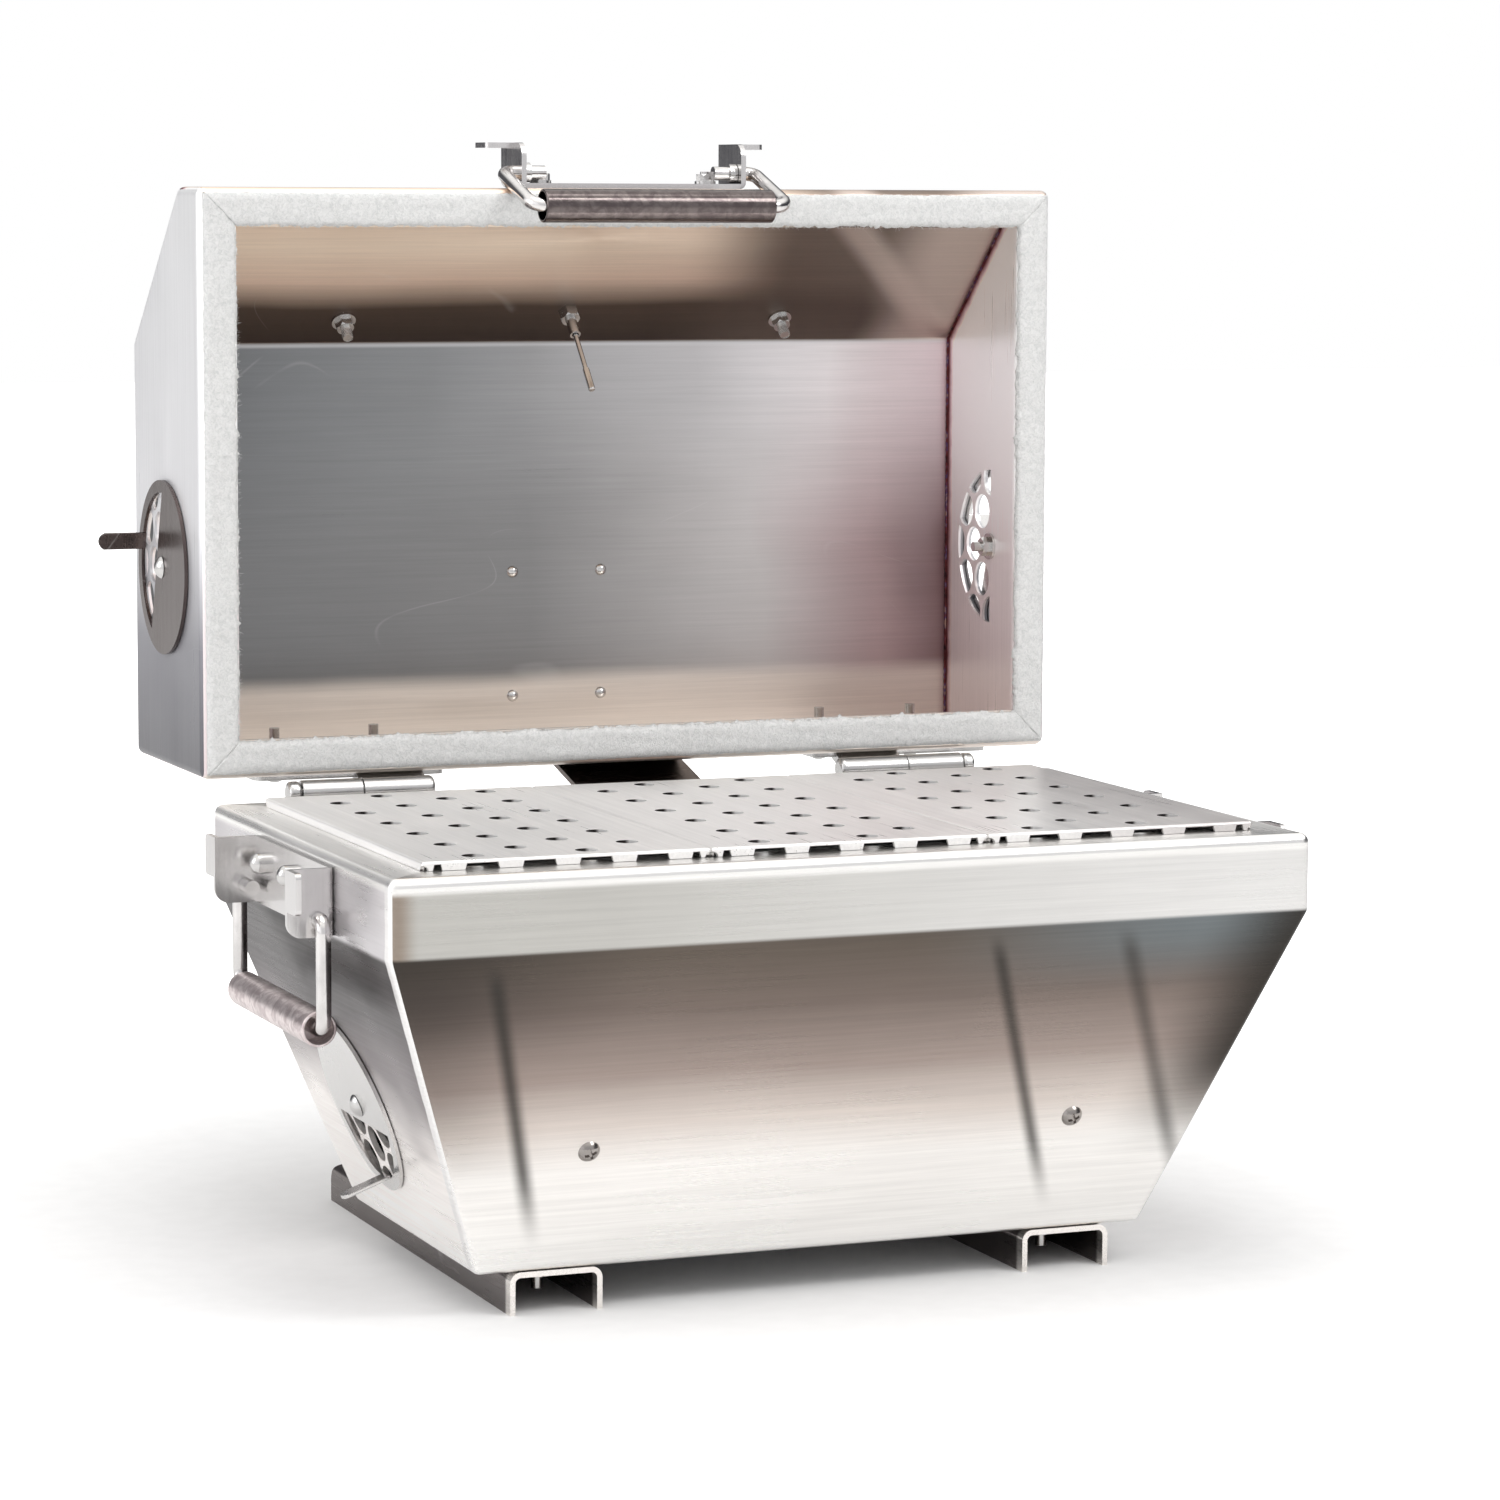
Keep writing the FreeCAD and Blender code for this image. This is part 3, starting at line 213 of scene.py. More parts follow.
def hair_scratches(g, seed, width=0.004):
    """Thin wandering scratches: where a slow noise crosses its middle value."""
    shift = g.add("ShaderNodeVectorMath", operation="ADD")
    g.feed(shift.inputs[0], g.stretched(7.0, 13.0, 13.0))
    shift.inputs[1].default_value = (seed, seed * 0.7, seed * 1.3)
    wander = g.noise(shift.outputs[0], 1.0, 0.0, 0.5, 0.6)
    line = g.size_of(g.minus(wander, 0.5))
    thin = g.span(line, 0.0, width, 1.0, 0.0)
    patchy = g.span(g.noise(g.stretched(22.0, 22.0, 22.0), 1.0, 1.0), 0.5, 0.62)
    return g.times(thin, patchy)


def brushed(name, tone, along="X", rough=0.27, shade=None, scratch=0.0, aniso=0.45, grain=1.0, metal=1.0):
    """Brushed stainless sheet.  shade(g) gives an extra colour that multiplies the tone, mostly painted
    light, shade and reflection.
    """
    g = Graph(name)
    broad, fine = grain_fields(g, along)
    cloud = g.noise(g.coords, 9.0, 3.0, 0.55)
    colour = g.mix(g.span(broad, 0.25, 0.75, 0.0, 1.0, False),
                   tuple(v * (1.0 - 0.10 * grain) for v in tone), tuple(min(1.0, v * 1.05) for v in tone))
    colour = g.mix(g.span(fine, 0.3, 0.7, 0.0, 0.16 * grain, False), colour, tuple(v * 0.72 for v in tone))
    dull = tuple(v * share for v, share in zip(tone, (0.86, 0.84, 0.83)))
    colour = g.mix(g.span(cloud, 0.35, 0.75, 0.0, 0.14), colour, dull)
    if shade:
        colour = g.mix(1.0, colour, shade(g), "MULTIPLY")
    roughness = g.plus(g.span(broad, 0.2, 0.8, rough - 0.05, rough + 0.05, False),
                       g.span(cloud, 0.3, 0.8, -0.03, 0.06))
    if scratch:
        marks = g.times(hair_scratches(g, 3.7), scratch)
        colour = g.mix(marks, colour, (0.95, 0.94, 0.93))
        roughness = g.plus(roughness, g.times(marks, 0.2))
    g.feed(g.bsdf.inputs["Base Color"], colour)
    g.feed(g.bsdf.inputs["Roughness"], roughness)
    g.bsdf.inputs["Metallic"].default_value = metal
    g.bsdf.inputs["Anisotropic"].default_value = aniso
    tangent = g.add("ShaderNodeTangent", direction_type="RADIAL", axis="Z" if along != "Z" else "X")
    g.feed(g.bsdf.inputs["Tangent"], tangent.outputs[0])
    g.bump(g.plus(broad, g.times(fine, 0.5)), 0.10 * grain, 0.0002)
    return g.material


# ------------------------------------------------------------------ shading patterns tied to the object
# Each pattern gives a colour that multiplies the steel's own tone, placed by position on the object; most of
# them are painted light, shade and reflection, a few are tints and seams.
def side_edge(g):
    """Distance in from the corner line between the front and the side panels."""
    drop = g.math("MAXIMUM", g.minus(BAND_LOW, g.z), 0.0)
    corner = g.minus(RIM_X, g.times(drop, CORNER_RATIO))
    return g.minus(corner, g.size_of(g.x))


def corner_seam_and_painted_reflection(g, width):
    """Dark line down the corner: painted reflection all the way down on the right, a dark seam only on the
    band on the left.
    """
    near = g.span(side_edge(g), width, width * 0.6)
    below_rim = g.span(g.z, RIM_TOP - 5 * MM, RIM_TOP - 8 * MM)
    on_band = g.times(g.span(g.z, BAND_LOW - 4 * MM, BAND_LOW), below_rim)
    return g.times(near, g.math("MAXIMUM", g.span(g.x, 0.0, 10 * MM), on_band))


# painted reflection streaks: x at the top in mm, sideways drift per unit of drop, half width in mm, strength
FRONT_REFLECTION_STREAKS = ((-206, 0.26, 7.5, 0.85), (73, 0.36, 7, 0.8), (149, 0.40, 9, 0.6))


def painted_reflection_streak(g, top_x, drift, half_width, strength):
    """One soft dark streak of painted reflection, drifting sideways as it comes down the slope."""
    fade_in, fade_from, fade_to = 20 * MM, 120 * MM, 170 * MM
    drop = g.minus(BAND_LOW, g.z)
    away = g.size_of(g.minus(g.x, g.plus(g.times(drop, drift), top_x * MM)))
    ends = g.times(g.span(drop, 0.0, fade_in), g.span(drop, fade_from, fade_to, 1.0, 0.0))
    return g.times(g.times(g.span(away, 0.0, half_width * MM, 1.0, 0.0), ends), strength)


def front_slope_painted_reflection(g):
    """Sloped part of the front, painted reflection: dark and warm under the band, light towards the floor.
    """
    height = g.plus(g.z, g.wobble((3.0, 3.0, 6.0), 20 * MM))
    place = g.span(height, FLOOR_Z, BAND_LOW + 4 * MM, 0.0, 1.0, False)
    slope = g.ramp(place, [
        (0.0, (1.42, 1.42, 1.40)), (0.30, (1.42, 1.40, 1.37)), (0.43, (1.02, 0.93, 0.87)),
        (0.58, (0.53, 0.44, 0.40)), (0.78, (0.27, 0.22, 0.195)), (0.94, (0.185, 0.155, 0.132)),
        (1.0, (0.15, 0.13, 0.115)),
    ])
    # Painted shade: darker still at the upper left.
    upper = g.span(g.z, BAND_LOW - 70 * MM, BAND_LOW - 20 * MM)
    upper_left = g.times(g.span(g.x, -100 * MM, -240 * MM), upper)
    slope = g.mix(upper_left, slope, g.mix(1.0, slope, (0.55, 0.56, 0.58), "MULTIPLY"))
    # Painted shade right under the band, right of the middle.
    under_band = g.span(g.z, BAND_LOW - 45 * MM, BAND_LOW - 5 * MM)
    slope = g.mix(g.times(g.span(g.x, 20 * MM, 200 * MM), under_band), slope, (0.24, 0.27, 0.285))
    # Painted dark reflection towards the ends, strongest on the right.
    near_edge = g.span(side_edge(g), 0.0, 65 * MM, 0.95, 0.0)
    above_floor = g.span(g.z, FLOOR_Z + 30 * MM, BAND_LOW - 80 * MM)
    mostly_right = g.span(g.x, -50 * MM, 50 * MM, 0.35, 1.0)
    slope = g.mix(g.times(g.times(near_edge, above_floor), mostly_right), slope, (0.055, 0.05, 0.045))
    # Soft dark streaks of painted reflection down the slope.
    for streak in FRONT_REFLECTION_STREAKS:
        slope = g.mix(painted_reflection_streak(g, *streak), slope, (0.07, 0.065, 0.06))
    return slope


def front_tint_and_painted_light(g):
    """The slope, the upright band above it with painted shade darker to the left and a brown tint at the
    left end, a painted highlight on the fold along the top, and the corner line.
    """
    # Painted shade: the band darker to the left, lighter to the right.
    band = g.mix(g.span(g.x, -220 * MM, 240 * MM), (0.76, 0.755, 0.72), (1.10, 1.10, 1.09))
    band = g.mix(g.span(g.plus(g.x, RIM_X), 4 * MM, 16 * MM, 0.8, 0.0), band, (0.42, 0.33, 0.26))
    # Painted highlight on the fold along the top.
    band = g.mix(g.span(g.z, RIM_TOP - 10 * MM, RIM_TOP - 6.5 * MM), band, (1.35, 1.35, 1.33))
    whole = g.mix(g.span(g.z, BAND_LOW - 0.5 * MM, BAND_LOW + 2 * MM), front_slope_painted_reflection(g), band)
    return g.mix(corner_seam_and_painted_reflection(g, 1.6 * MM), whole, (0.05, 0.045, 0.045))


def side_seam_and_painted_shade(g):
    """Painted highlight on the rim, a bright linished seam strip, painted shade dark under the band and
    painted light lower down, and a painted dark reflection down the right front corner.
    """
    drop = g.math("MAXIMUM", g.minus(BAND_LOW, g.z), 0.0)
    front_edge = g.plus(g.times(drop, CORNER_RATIO), RIM_FRONT)
    inset = g.minus(g.y, front_edge)
    off_strip = g.span(g.plus(inset, g.wobble((40, 40, 90), 3 * MM)), 8.5 * MM, 10.5 * MM)
    cloud = g.wobble((9.0, 7.0, 14.0), 90 * MM)
    # Painted shade under the band, turning to painted light towards the floor.
    fall = g.span(g.plus(g.z, cloud), FLOOR_Z, BAND_LOW, 0.0, 1.0, False)
    body = g.ramp(fall, [(0.0, (1.55, 1.52, 1.50)), (0.34, (1.45, 1.40, 1.37)), (0.54, (0.34, 0.30, 0.315)),
                         (0.76, (0.10, 0.085, 0.09)), (1.0, (0.035, 0.03, 0.03))])
    band = g.ramp(g.span(cloud, -20 * MM, 20 * MM), [(0.0, (0.85, 0.83, 0.86)), (1.0, (1.25, 1.22, 1.25))])
    body = g.mix(g.span(g.z, BAND_LOW - 3 * MM, BAND_LOW + 1 * MM), body, band)
    # Painted highlight on the rim.
    body = g.mix(g.span(g.z, RIM_TOP - 9 * MM, RIM_TOP - 5 * MM), body, (1.4, 1.4, 1.38))
    side = g.mix(off_strip, (1.3, 1.3, 1.3), body)
    # Painted dark reflection down the right front corner.
    right_corner = g.times(g.span(g.x, 0.0, 10 * MM), g.span(inset, 10 * MM, 6 * MM))
    return g.mix(right_corner, side, (0.04, 0.04, 0.04))


def lid_back_painted_reflection(g, waver):
    """Inside of the lid's back wall, painted reflection: darker grey on the left, bright and lilac on the
    right, bright and warm along the foot.
    """
    across = g.span(g.plus(g.x, waver), -LID_X, LID_X, 0.0, 1.0, False)
    upper = g.ramp(across, [
        (0.0, (0.22, 0.235, 0.25)), (0.35, (0.42, 0.435, 0.45)), (0.66, (0.85, 0.84, 0.86)),
        (0.84, (1.42, 1.38, 1.41)), (1.0, (1.35, 1.15, 1.22)),
    ])
    lower = g.ramp(across, [
        (0.0, (0.26, 0.27, 0.28)), (0.45, (0.36, 0.36, 0.365)), (0.74, (0.80, 0.77, 0.77)),
        (0.90, (0.80, 0.62, 0.64)), (1.0, (0.34, 0.22, 0.23)),
    ])
    back = g.mix(g.span(g.plus(g.z, waver), LID_LOW + 100 * MM, SLANT_LOW_Z), lower, upper)
    # Painted light, warm, along the foot of the wall.
    foot = g.span(g.plus(g.z, g.times(waver, 0.15)), LID_LOW + 42 * MM, LID_LOW + 28 * MM)
    return g.mix(g.times(foot, 0.85), back, (1.38, 1.28, 1.18))


def lid_slant_painted_reflection(g, waver):
    """Inside of the slanted wall: a bronze tone under painted reflection, painted shade dark along the bend,
    a darker right half with a painted glint, and a lighter right end.
    """
    climb = g.span(g.plus(g.z, g.times(waver, 0.2)), SLANT_LOW_Z, LID_TOP, 0.0, 1.0, False)
    # Painted shade dark along the bend, painted light bright above it.
    slant = g.ramp(climb, [
        (0.0, (0.09, 0.065, 0.055)), (0.22, (0.15, 0.11, 0.09)), (0.40, (1.25, 1.02, 0.86)),
        (0.62, (1.42, 1.25, 1.06)), (1.0, (1.30, 1.06, 0.88)),
    ])
    wavering_x = g.plus(g.x, waver)
    # Painted dark reflection over the right half.
    slant = g.mix(g.span(wavering_x, 50 * MM, 130 * MM, 0.0, 0.92), slant, (0.22, 0.175, 0.15))
    # Painted glint running down through the darker half.
    glint_drift = 1.3
    drop = g.minus(LID_TOP - 12 * MM, g.z)
    from_glint = g.size_of(g.minus(g.minus(g.x, 150 * MM), g.times(drop, glint_drift)))
    slant = g.mix(g.span(from_glint, 3 * MM, 20 * MM, 0.5, 0.0), slant, (1.25, 1.08, 0.98))
    # Painted light towards the right end.
    return g.mix(g.span(wavering_x, 185 * MM, 235 * MM, 0.0, 0.7), slant, (1.15, 1.0, 0.92))


def lid_painted_reflection(g):
    """Bright outside faces and edges; the inner skins of the back and slanted walls carry painted reflection
    and shade.
    """
    waver = g.wobble((3.0, 3.0, 5.0), 100 * MM, 3.0)
    from_slant_skin = g.plus(g.times(g.minus(g.y, LID_BACK - SHEET), SLANT_OUT.y),
                             g.times(g.minus(g.z, SLANT_LOW_Z), SLANT_OUT.z))
    on_slant = g.times(g.span(from_slant_skin, 0.3 * MM, 0.7 * MM, 1.0, 0.0),
                       g.span(g.z, SLANT_LOW_Z - 3.5 * MM, SLANT_LOW_Z - 0.5 * MM))
    on_back = g.times(g.span(g.minus(LID_BACK, g.y), 1.5 * MM, 1.8 * MM),
                      g.span(g.z, SLANT_LOW_Z - 5 * MM, SLANT_LOW_Z - 1 * MM, 1.0, 0.0))
    whole = g.mix(on_slant, (1.1, 1.11, 1.14), lid_slant_painted_reflection(g, waver))
    return g.mix(on_back, whole, lid_back_painted_reflection(g, waver))


def heat_tint(g, distance):
    """Dark red to straw bands beside a weld, by distance in metres."""
    jitter = g.times(g.minus(g.noise(g.coords, 120.0, 2.0), 0.5), 3 * MM)
    place = g.span(g.plus(distance, jitter), 0.0, 9 * MM, 0.0, 1.0, False)
    return g.ramp(place, [(0.0, (0.05, 0.02, 0.02)), (0.22, (0.16, 0.04, 0.04)), (0.40, (0.42, 0.22, 0.24)),
                          (0.62, (0.74, 0.62, 0.66)), (0.82, (0.95, 0.88, 0.82)), (1.0, (1.0, 1.0, 1.0))])


def lid_end_tint_and_painted_shade(g):
    """End plate: heat tint inside where it is welded to the back and slanted walls, under painted light that
    brightens upwards; outside, painted shade dark at the bottom, light and slightly blue towards the top.
    """
    from_back = g.minus(LID_BACK - SHEET, g.y)
    rise = g.minus(g.z, SLANT_LOW_Z)
    from_slant = g.minus(g.times(from_back, SLANT_OUT.y), g.times(rise, SLANT_OUT.z))
    from_weld = g.math("MINIMUM", g.size_of(from_back), g.size_of(from_slant))
    climb = g.span(g.z, LID_LOW, LID_TOP, 0.0, 1.0, False)
    # Painted light: the inside brighter towards the top.
    inside = g.ramp(climb, [
        (0.0, (1.15, 1.0, 1.02)), (0.30, (1.35, 1.26, 1.28)), (0.50, (1.75, 1.72, 1.74)),
        (1.0, (1.75, 1.75, 1.75)),
    ])
    inside = g.mix(1.0, heat_tint(g, from_weld), inside, "MULTIPLY")
    # Painted shade: the outside dark at the bottom, light and slightly blue at the top.
    outside = g.ramp(climb, [
        (0.0, (0.15, 0.15, 0.17)), (0.22, (0.34, 0.34, 0.38)), (0.42, (1.05, 1.06, 1.10)),
        (1.0, (1.30, 1.32, 1.34)),
    ])
    is_inside = g.math("LESS_THAN", g.size_of(g.x), LID_X - SHEET / 2)
    return g.mix(is_inside, outside, inside)


def foot_shade(g):
    """Bright on the front ends, dark on the flanks."""
    return g.mix(g.span(g.y, FLOOR_LOW.y + 4 * MM, FLOOR_LOW.y), (0.24, 0.21, 0.205), (1.4, 1.36, 1.32))


def grate_painted_light(g):
    """Painted reflection on the punched hole walls, dark on the side facing right and bright on the side
    facing left; painted shade darkens the top towards the right end.
    """
    from_middle = g.size_of(g.minus(g.y, GRATES_MIDDLE))
    on_wall = g.times(g.span(g.size_of(g.turned_to(2)), 0.2, 0.5, 1.0, 0.0),
                      g.span(from_middle, 137 * MM, 138.5 * MM, 1.0, 0.0))
    # Painted reflection on the hole walls by which way they face.
    wall = g.mix(g.span(g.turned_to(0), -0.15, -0.65), (0.04, 0.035, 0.035), (1.3, 1.3, 1.3))
    # Painted shade: the grates darker towards the right end.
    top = g.mix(g.span(g.x, 90 * MM, 230 * MM), (1.0, 1.0, 1.0), (0.72, 0.70, 0.70))
    return g.mix(on_wall, top, wall)


STEEL = (0.58, 0.572, 0.565)
PALE = (0.70, 0.692, 0.685)


def polished_tube(name, low, high, rough, metal=1.0):
    """Handle tube: mottled steel between two tones."""
    g = Graph(name)
    lengthwise = g.noise(g.stretched(90.0, 90.0, 90.0), 1.0, 3.0, 0.6)
    blotch = g.noise(g.coords, 160.0, 4.0, 0.65, 0.8)
    g.feed(g.bsdf.inputs["Base Color"], g.mix(g.span(blotch, 0.35, 0.65), low, high))
    g.feed(g.bsdf.inputs["Roughness"], g.span(lengthwise, 0.3, 0.7, rough, rough + 0.12, False))
    g.bsdf.inputs["Metallic"].default_value = metal
    g.bump(blotch, 0.10, 0.0002)
    return g.material


def turned(name, tone, rough):
    """Fasteners and rod: rolled or turned steel with small pits."""
    g = Graph(name)
    pits = g.noise(g.coords, 900.0, 3.0, 0.6)
    cloud = g.noise(g.coords, 60.0, 2.0)
    colour = g.mix(g.span(cloud, 0.35, 0.7), tone, tuple(v * 0.80 for v in tone))
    colour = g.mix(g.span(pits, 0.62, 0.75, 0.0, 0.5), colour, tuple(v * 0.5 for v in tone))
    g.feed(g.bsdf.inputs["Base Color"], colour)
    g.feed(g.bsdf.inputs["Roughness"], g.span(pits, 0.3, 0.7, rough - 0.05, rough + 0.1, False))
    g.bsdf.inputs["Metallic"].default_value = 1.0
    g.bump(pits, 0.08, 0.0001)
    return g.material


def felt_material():
    """Off-white needled wool, a little stained."""
    g = Graph("felt_wool")
    tuft = g.noise(g.coords, 420.0, 5.0, 0.72, 1.2)
    fibre = g.noise(g.stretched(1500.0, 1500.0, 600.0), 1.0, 3.0, 0.7, 2.0)
    stain = g.noise(g.coords, 28.0, 3.0, 0.6)
    wool_tones = [(0.0, (0.66, 0.67, 0.66)), (0.5, (0.79, 0.79, 0.78)), (1.0, (0.88, 0.88, 0.87))]
    colour = g.ramp(g.span(tuft, 0.3, 0.7), wool_tones)
    colour = g.mix(g.span(fibre, 0.55, 0.75, 0.0, 0.45), colour, (0.70, 0.71, 0.72))
    colour = g.mix(g.span(stain, 0.55, 0.8, 0.0, 0.35), colour, (0.72, 0.71, 0.70))
    g.feed(g.bsdf.inputs["Base Color"], colour)
    g.bsdf.inputs["Roughness"].default_value = 0.95
    g.bsdf.inputs["Sheen Weight"].default_value = 0.35
    g.bsdf.inputs["Sheen Roughness"].default_value = 0.6
    g.bump(g.plus(tuft, g.times(fibre, 0.6)), 0.9, 0.0012)
    return g.material


def weld_material():
    """Weld bead with dark red, violet and straw patches."""
    g = Graph("weld_heat_tint")
    band = g.noise(g.coords, 160.0, 3.0, 0.6)
    colour = g.ramp(g.span(band, 0.3, 0.7), [
        (0.0, (0.03, 0.012, 0.015)), (0.5, (0.13, 0.03, 0.03)), (0.8, (0.08, 0.05, 0.12)),
        (1.0, (0.30, 0.18, 0.15)),
    ])
    g.feed(g.bsdf.inputs["Base Color"], colour)
    g.feed(g.bsdf.inputs["Roughness"], g.span(band, 0.3, 0.7, 0.25, 0.5, False))
    g.bsdf.inputs["Metallic"].default_value = 1.0
    g.bump(band, 0.3, 0.0003)
    return g.material


def glass_material():
    """Clear gauge lens with faint smears."""
    g = Graph("gauge_glass")
    smear = g.noise(g.coords, 90.0, 3.0, 0.6)
    g.bsdf.inputs["Base Color"].default_value = (0.97, 0.98, 0.98, 1.0)
    g.feed(g.bsdf.inputs["Roughness"], g.span(smear, 0.4, 0.8, 0.01, 0.09))
    g.bsdf.inputs["Transmission Weight"].default_value = 1.0
    g.bsdf.inputs["IOR"].default_value = 1.45
    g.bump(smear, 0.01, 0.0001)
    return g.material


def paint(name, tone, rough, speck):
    """Enamel or ink with a fine speckle."""
    g = Graph(name)
    grain = g.noise(g.coords, 1400.0, 3.0, 0.6)
    colour = g.mix(g.span(grain, 0.35, 0.7, 0.0, speck), tone, tuple(v * 0.7 for v in tone))
    g.feed(g.bsdf.inputs["Base Color"], colour)
    g.feed(g.bsdf.inputs["Roughness"], g.span(grain, 0.3, 0.7, rough, rough + 0.12, False))
    g.bump(grain, 0.05, 0.0001)
    return g.material


MATERIALS = {
    "front": brushed("steel_front", PALE, "X", 0.30, front_tint_and_painted_light, 0.0, 0.6),
    "back": brushed("steel_back", STEEL, "X", 0.30, None, 0.1, 0.5),
    "side": brushed("steel_side", PALE, "Y", 0.30, side_seam_and_painted_shade, 0.05, 0.4, 1.0, 0.75),
    "floor": brushed("steel_floor", STEEL, "X", 0.32, None, 0.2),
    "lid": brushed("steel_lid", PALE, "X", 0.34, lid_painted_reflection, 0.08, 0.4, 0.8, 0.85),
    "lid_end": brushed("steel_lid_end", PALE, "Z", 0.32, lid_end_tint_and_painted_shade, 0.05, 0.4, 0.8, 0.45),
    "grate": brushed("steel_grate", (0.93, 0.915, 0.90), "Y", 0.32, grate_painted_light, 0.15, 0.3, 1.0, 0.55),
    "plain": brushed("steel_plain", STEEL, "X", 0.28, None, 0.1, 0.3),
    "foot": brushed("steel_foot", (0.68, 0.67, 0.66), "Y", 0.28, foot_shade, 0.1, 0.3),
    "bracket": brushed("steel_bracket", (0.68, 0.665, 0.66), "Z", 0.20, None, 0.1, 0.3, 0.6, 1.0),
    "disc": brushed("steel_disc", (0.74, 0.73, 0.72), "Z", 0.22, None, 0.2, 0.3, 0.6),
    # A dark brown copy of the disc steel, used on the left lid vent disc only.
    "disc_dark": brushed("steel_disc_dark", (0.13, 0.105, 0.10), "Z", 0.24, None, 0.2, 0.3, 0.6),
    # The strap's near-black tone is painted shade.
    "strap": brushed("steel_strap_painted_shade", (0.10, 0.075, 0.065), "X", 0.26, None, 0.2, 0.3),
    "rod": turned("steel_rod", (0.74, 0.72, 0.71), 0.12),
    "bolts": turned("steel_bolts", (0.66, 0.65, 0.64), 0.18),
    "screws": turned("steel_screws", (0.40, 0.37, 0.35), 0.16),
    "grip": polished_tube("grip_mottled", (0.52, 0.44, 0.44), (0.80, 0.72, 0.71), 0.30, 0.85),
    "grip_dark": polished_tube("grip_polished", (0.11, 0.09, 0.09), (0.17, 0.145, 0.14), 0.10),
    "felt": felt_material(),
    "weld": weld_material(),
    "glass": glass_material(),
    "dial": paint("gauge_dial_enamel", (0.90, 0.90, 0.88), 0.42, 0.15),
    "ink": paint("gauge_ink", (0.03, 0.03, 0.035), 0.5, 0.3),
    "pointer": paint("gauge_pointer_red", (0.55, 0.05, 0.03), 0.4, 0.3),
}

FINISH_OF = {
    "firebox_front": "front", "firebox_back": "back", "firebox_left": "side", "firebox_right": "side",
    "firebox_floor": "floor", "foot_left": "foot", "foot_right": "foot", "charcoal_rail_front": "plain",
    "charcoal_rail_back": "plain", "charcoal_grate": "plain", "hinge_base_leaf_left": "plain",
    "hinge_base_leaf_right": "plain", "hinge_lid_leaf_left": "plain", "hinge_lid_leaf_right": "plain",
    "lid_shell": "lid", "lid_end_left": "lid_end", "lid_end_right": "lid_end", "lid_stop_strap": "strap",
    "side_bracket_left": "bracket", "side_bracket_right": "bracket", "lid_bracket": "bracket",
    "thermometer_lens": "glass", "thermometer_dial": "dial", "thermometer_needle": "pointer",
    "thermometer_bezel": "bolts", "grip_lid": "grip_dark", "vent_disc_lid_left": "disc_dark",
    "rail_fasteners": "screws",
}
FINISH_BY_START = (
    ("cooking_grate", "grate"), ("vent_disc", "disc"), ("bail_pivot", "bolts"), ("bail", "rod"),
    ("grip", "grip"), ("felt", "felt"),
)


def finish_name(node):
    if node in FINISH_OF:
        return FINISH_OF[node]
    for start, finish in FINISH_BY_START:
        if node.startswith(start):
            return finish
    return "bolts"


for node_name, node in NODES.items():
    node.data.materials.clear()
    node.data.materials.append(MATERIALS[finish_name(node_name)])


# ------------------------------------------------------------------ mesh pieces
def piece(name, bm, material, body, smooth=True):
    """Makes an object from bm that rides on a CAD body."""
    bmesh.ops.recalc_face_normals(bm, faces=bm.faces)
    mesh = bpy.data.meshes.new(name)
    bm.to_mesh(mesh)
    bm.free()
    mesh.materials.append(MATERIALS[material])
    if smooth:
        mesh.shade_smooth()
    made = bpy.data.objects.new(name, mesh)
    bpy.context.scene.collection.objects.link(made)
    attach(made, body)
    return made


def tube(bm, points, radii, sides=8):
    """Closed tube through points; a zero radius closes it to a tip."""
    loops = []
    for i, (point, radius) in enumerate(zip(points, radii)):
        ahead = points[min(i + 1, len(points) - 1)] - points[max(i - 1, 0)]
        ahead = ahead.normalized() if ahead.length else Vector((0, 0, 1))
        side = ahead.cross(Vector((0.31, 0.87, 0.38))).normalized()
        other = ahead.cross(side)
        loops.append([
            bm.verts.new(point + (side * math.cos(a) + other * math.sin(a)) * max(radius, 1e-6))
            for a in (2 * math.pi * k / sides for k in range(sides))
        ])
    for low, high in zip(loops, loops[1:]):
        for k in range(sides):
            bm.faces.new((low[k], low[(k + 1) % sides], high[(k + 1) % sides], high[k]))
    bm.faces.new(loops[0][::-1])
    bm.faces.new(loops[-1])


def wave(value, seed):
    """Smooth repeatable wobble between about -1 and 1."""
    return (0.5 * math.sin(value * 1.0 + seed) + 0.3 * math.sin(value * 2.3 + seed * 2.1)
            + 0.2 * math.sin(value * 5.1 + seed * 3.7))


# ---- felt seal: strips over the rim flange, their inner edges pulled and frayed
FELT_SKIN_Y, FELT_BACK_Y = FELT_FRONT_LOW.y, FELT_FRONT_HIGH.y
FELT_T = FELT_BACK_Y - FELT_SKIN_Y
FELT_W = FELT_FRONT_HIGH.z - FELT_FRONT_LOW.z
FELT_CELL = 1.6 * MM
FELT_ROWS = 12
INNER_PULL, OUTER_PULL = 1.3 * MM, 0.35 * MM
TUFT_SHARE = 0.06
PIT = 0.14 * MM
FIBRE_STEP = 0.42 * MM
EDGE_FIBRE_SHARE = 0.72


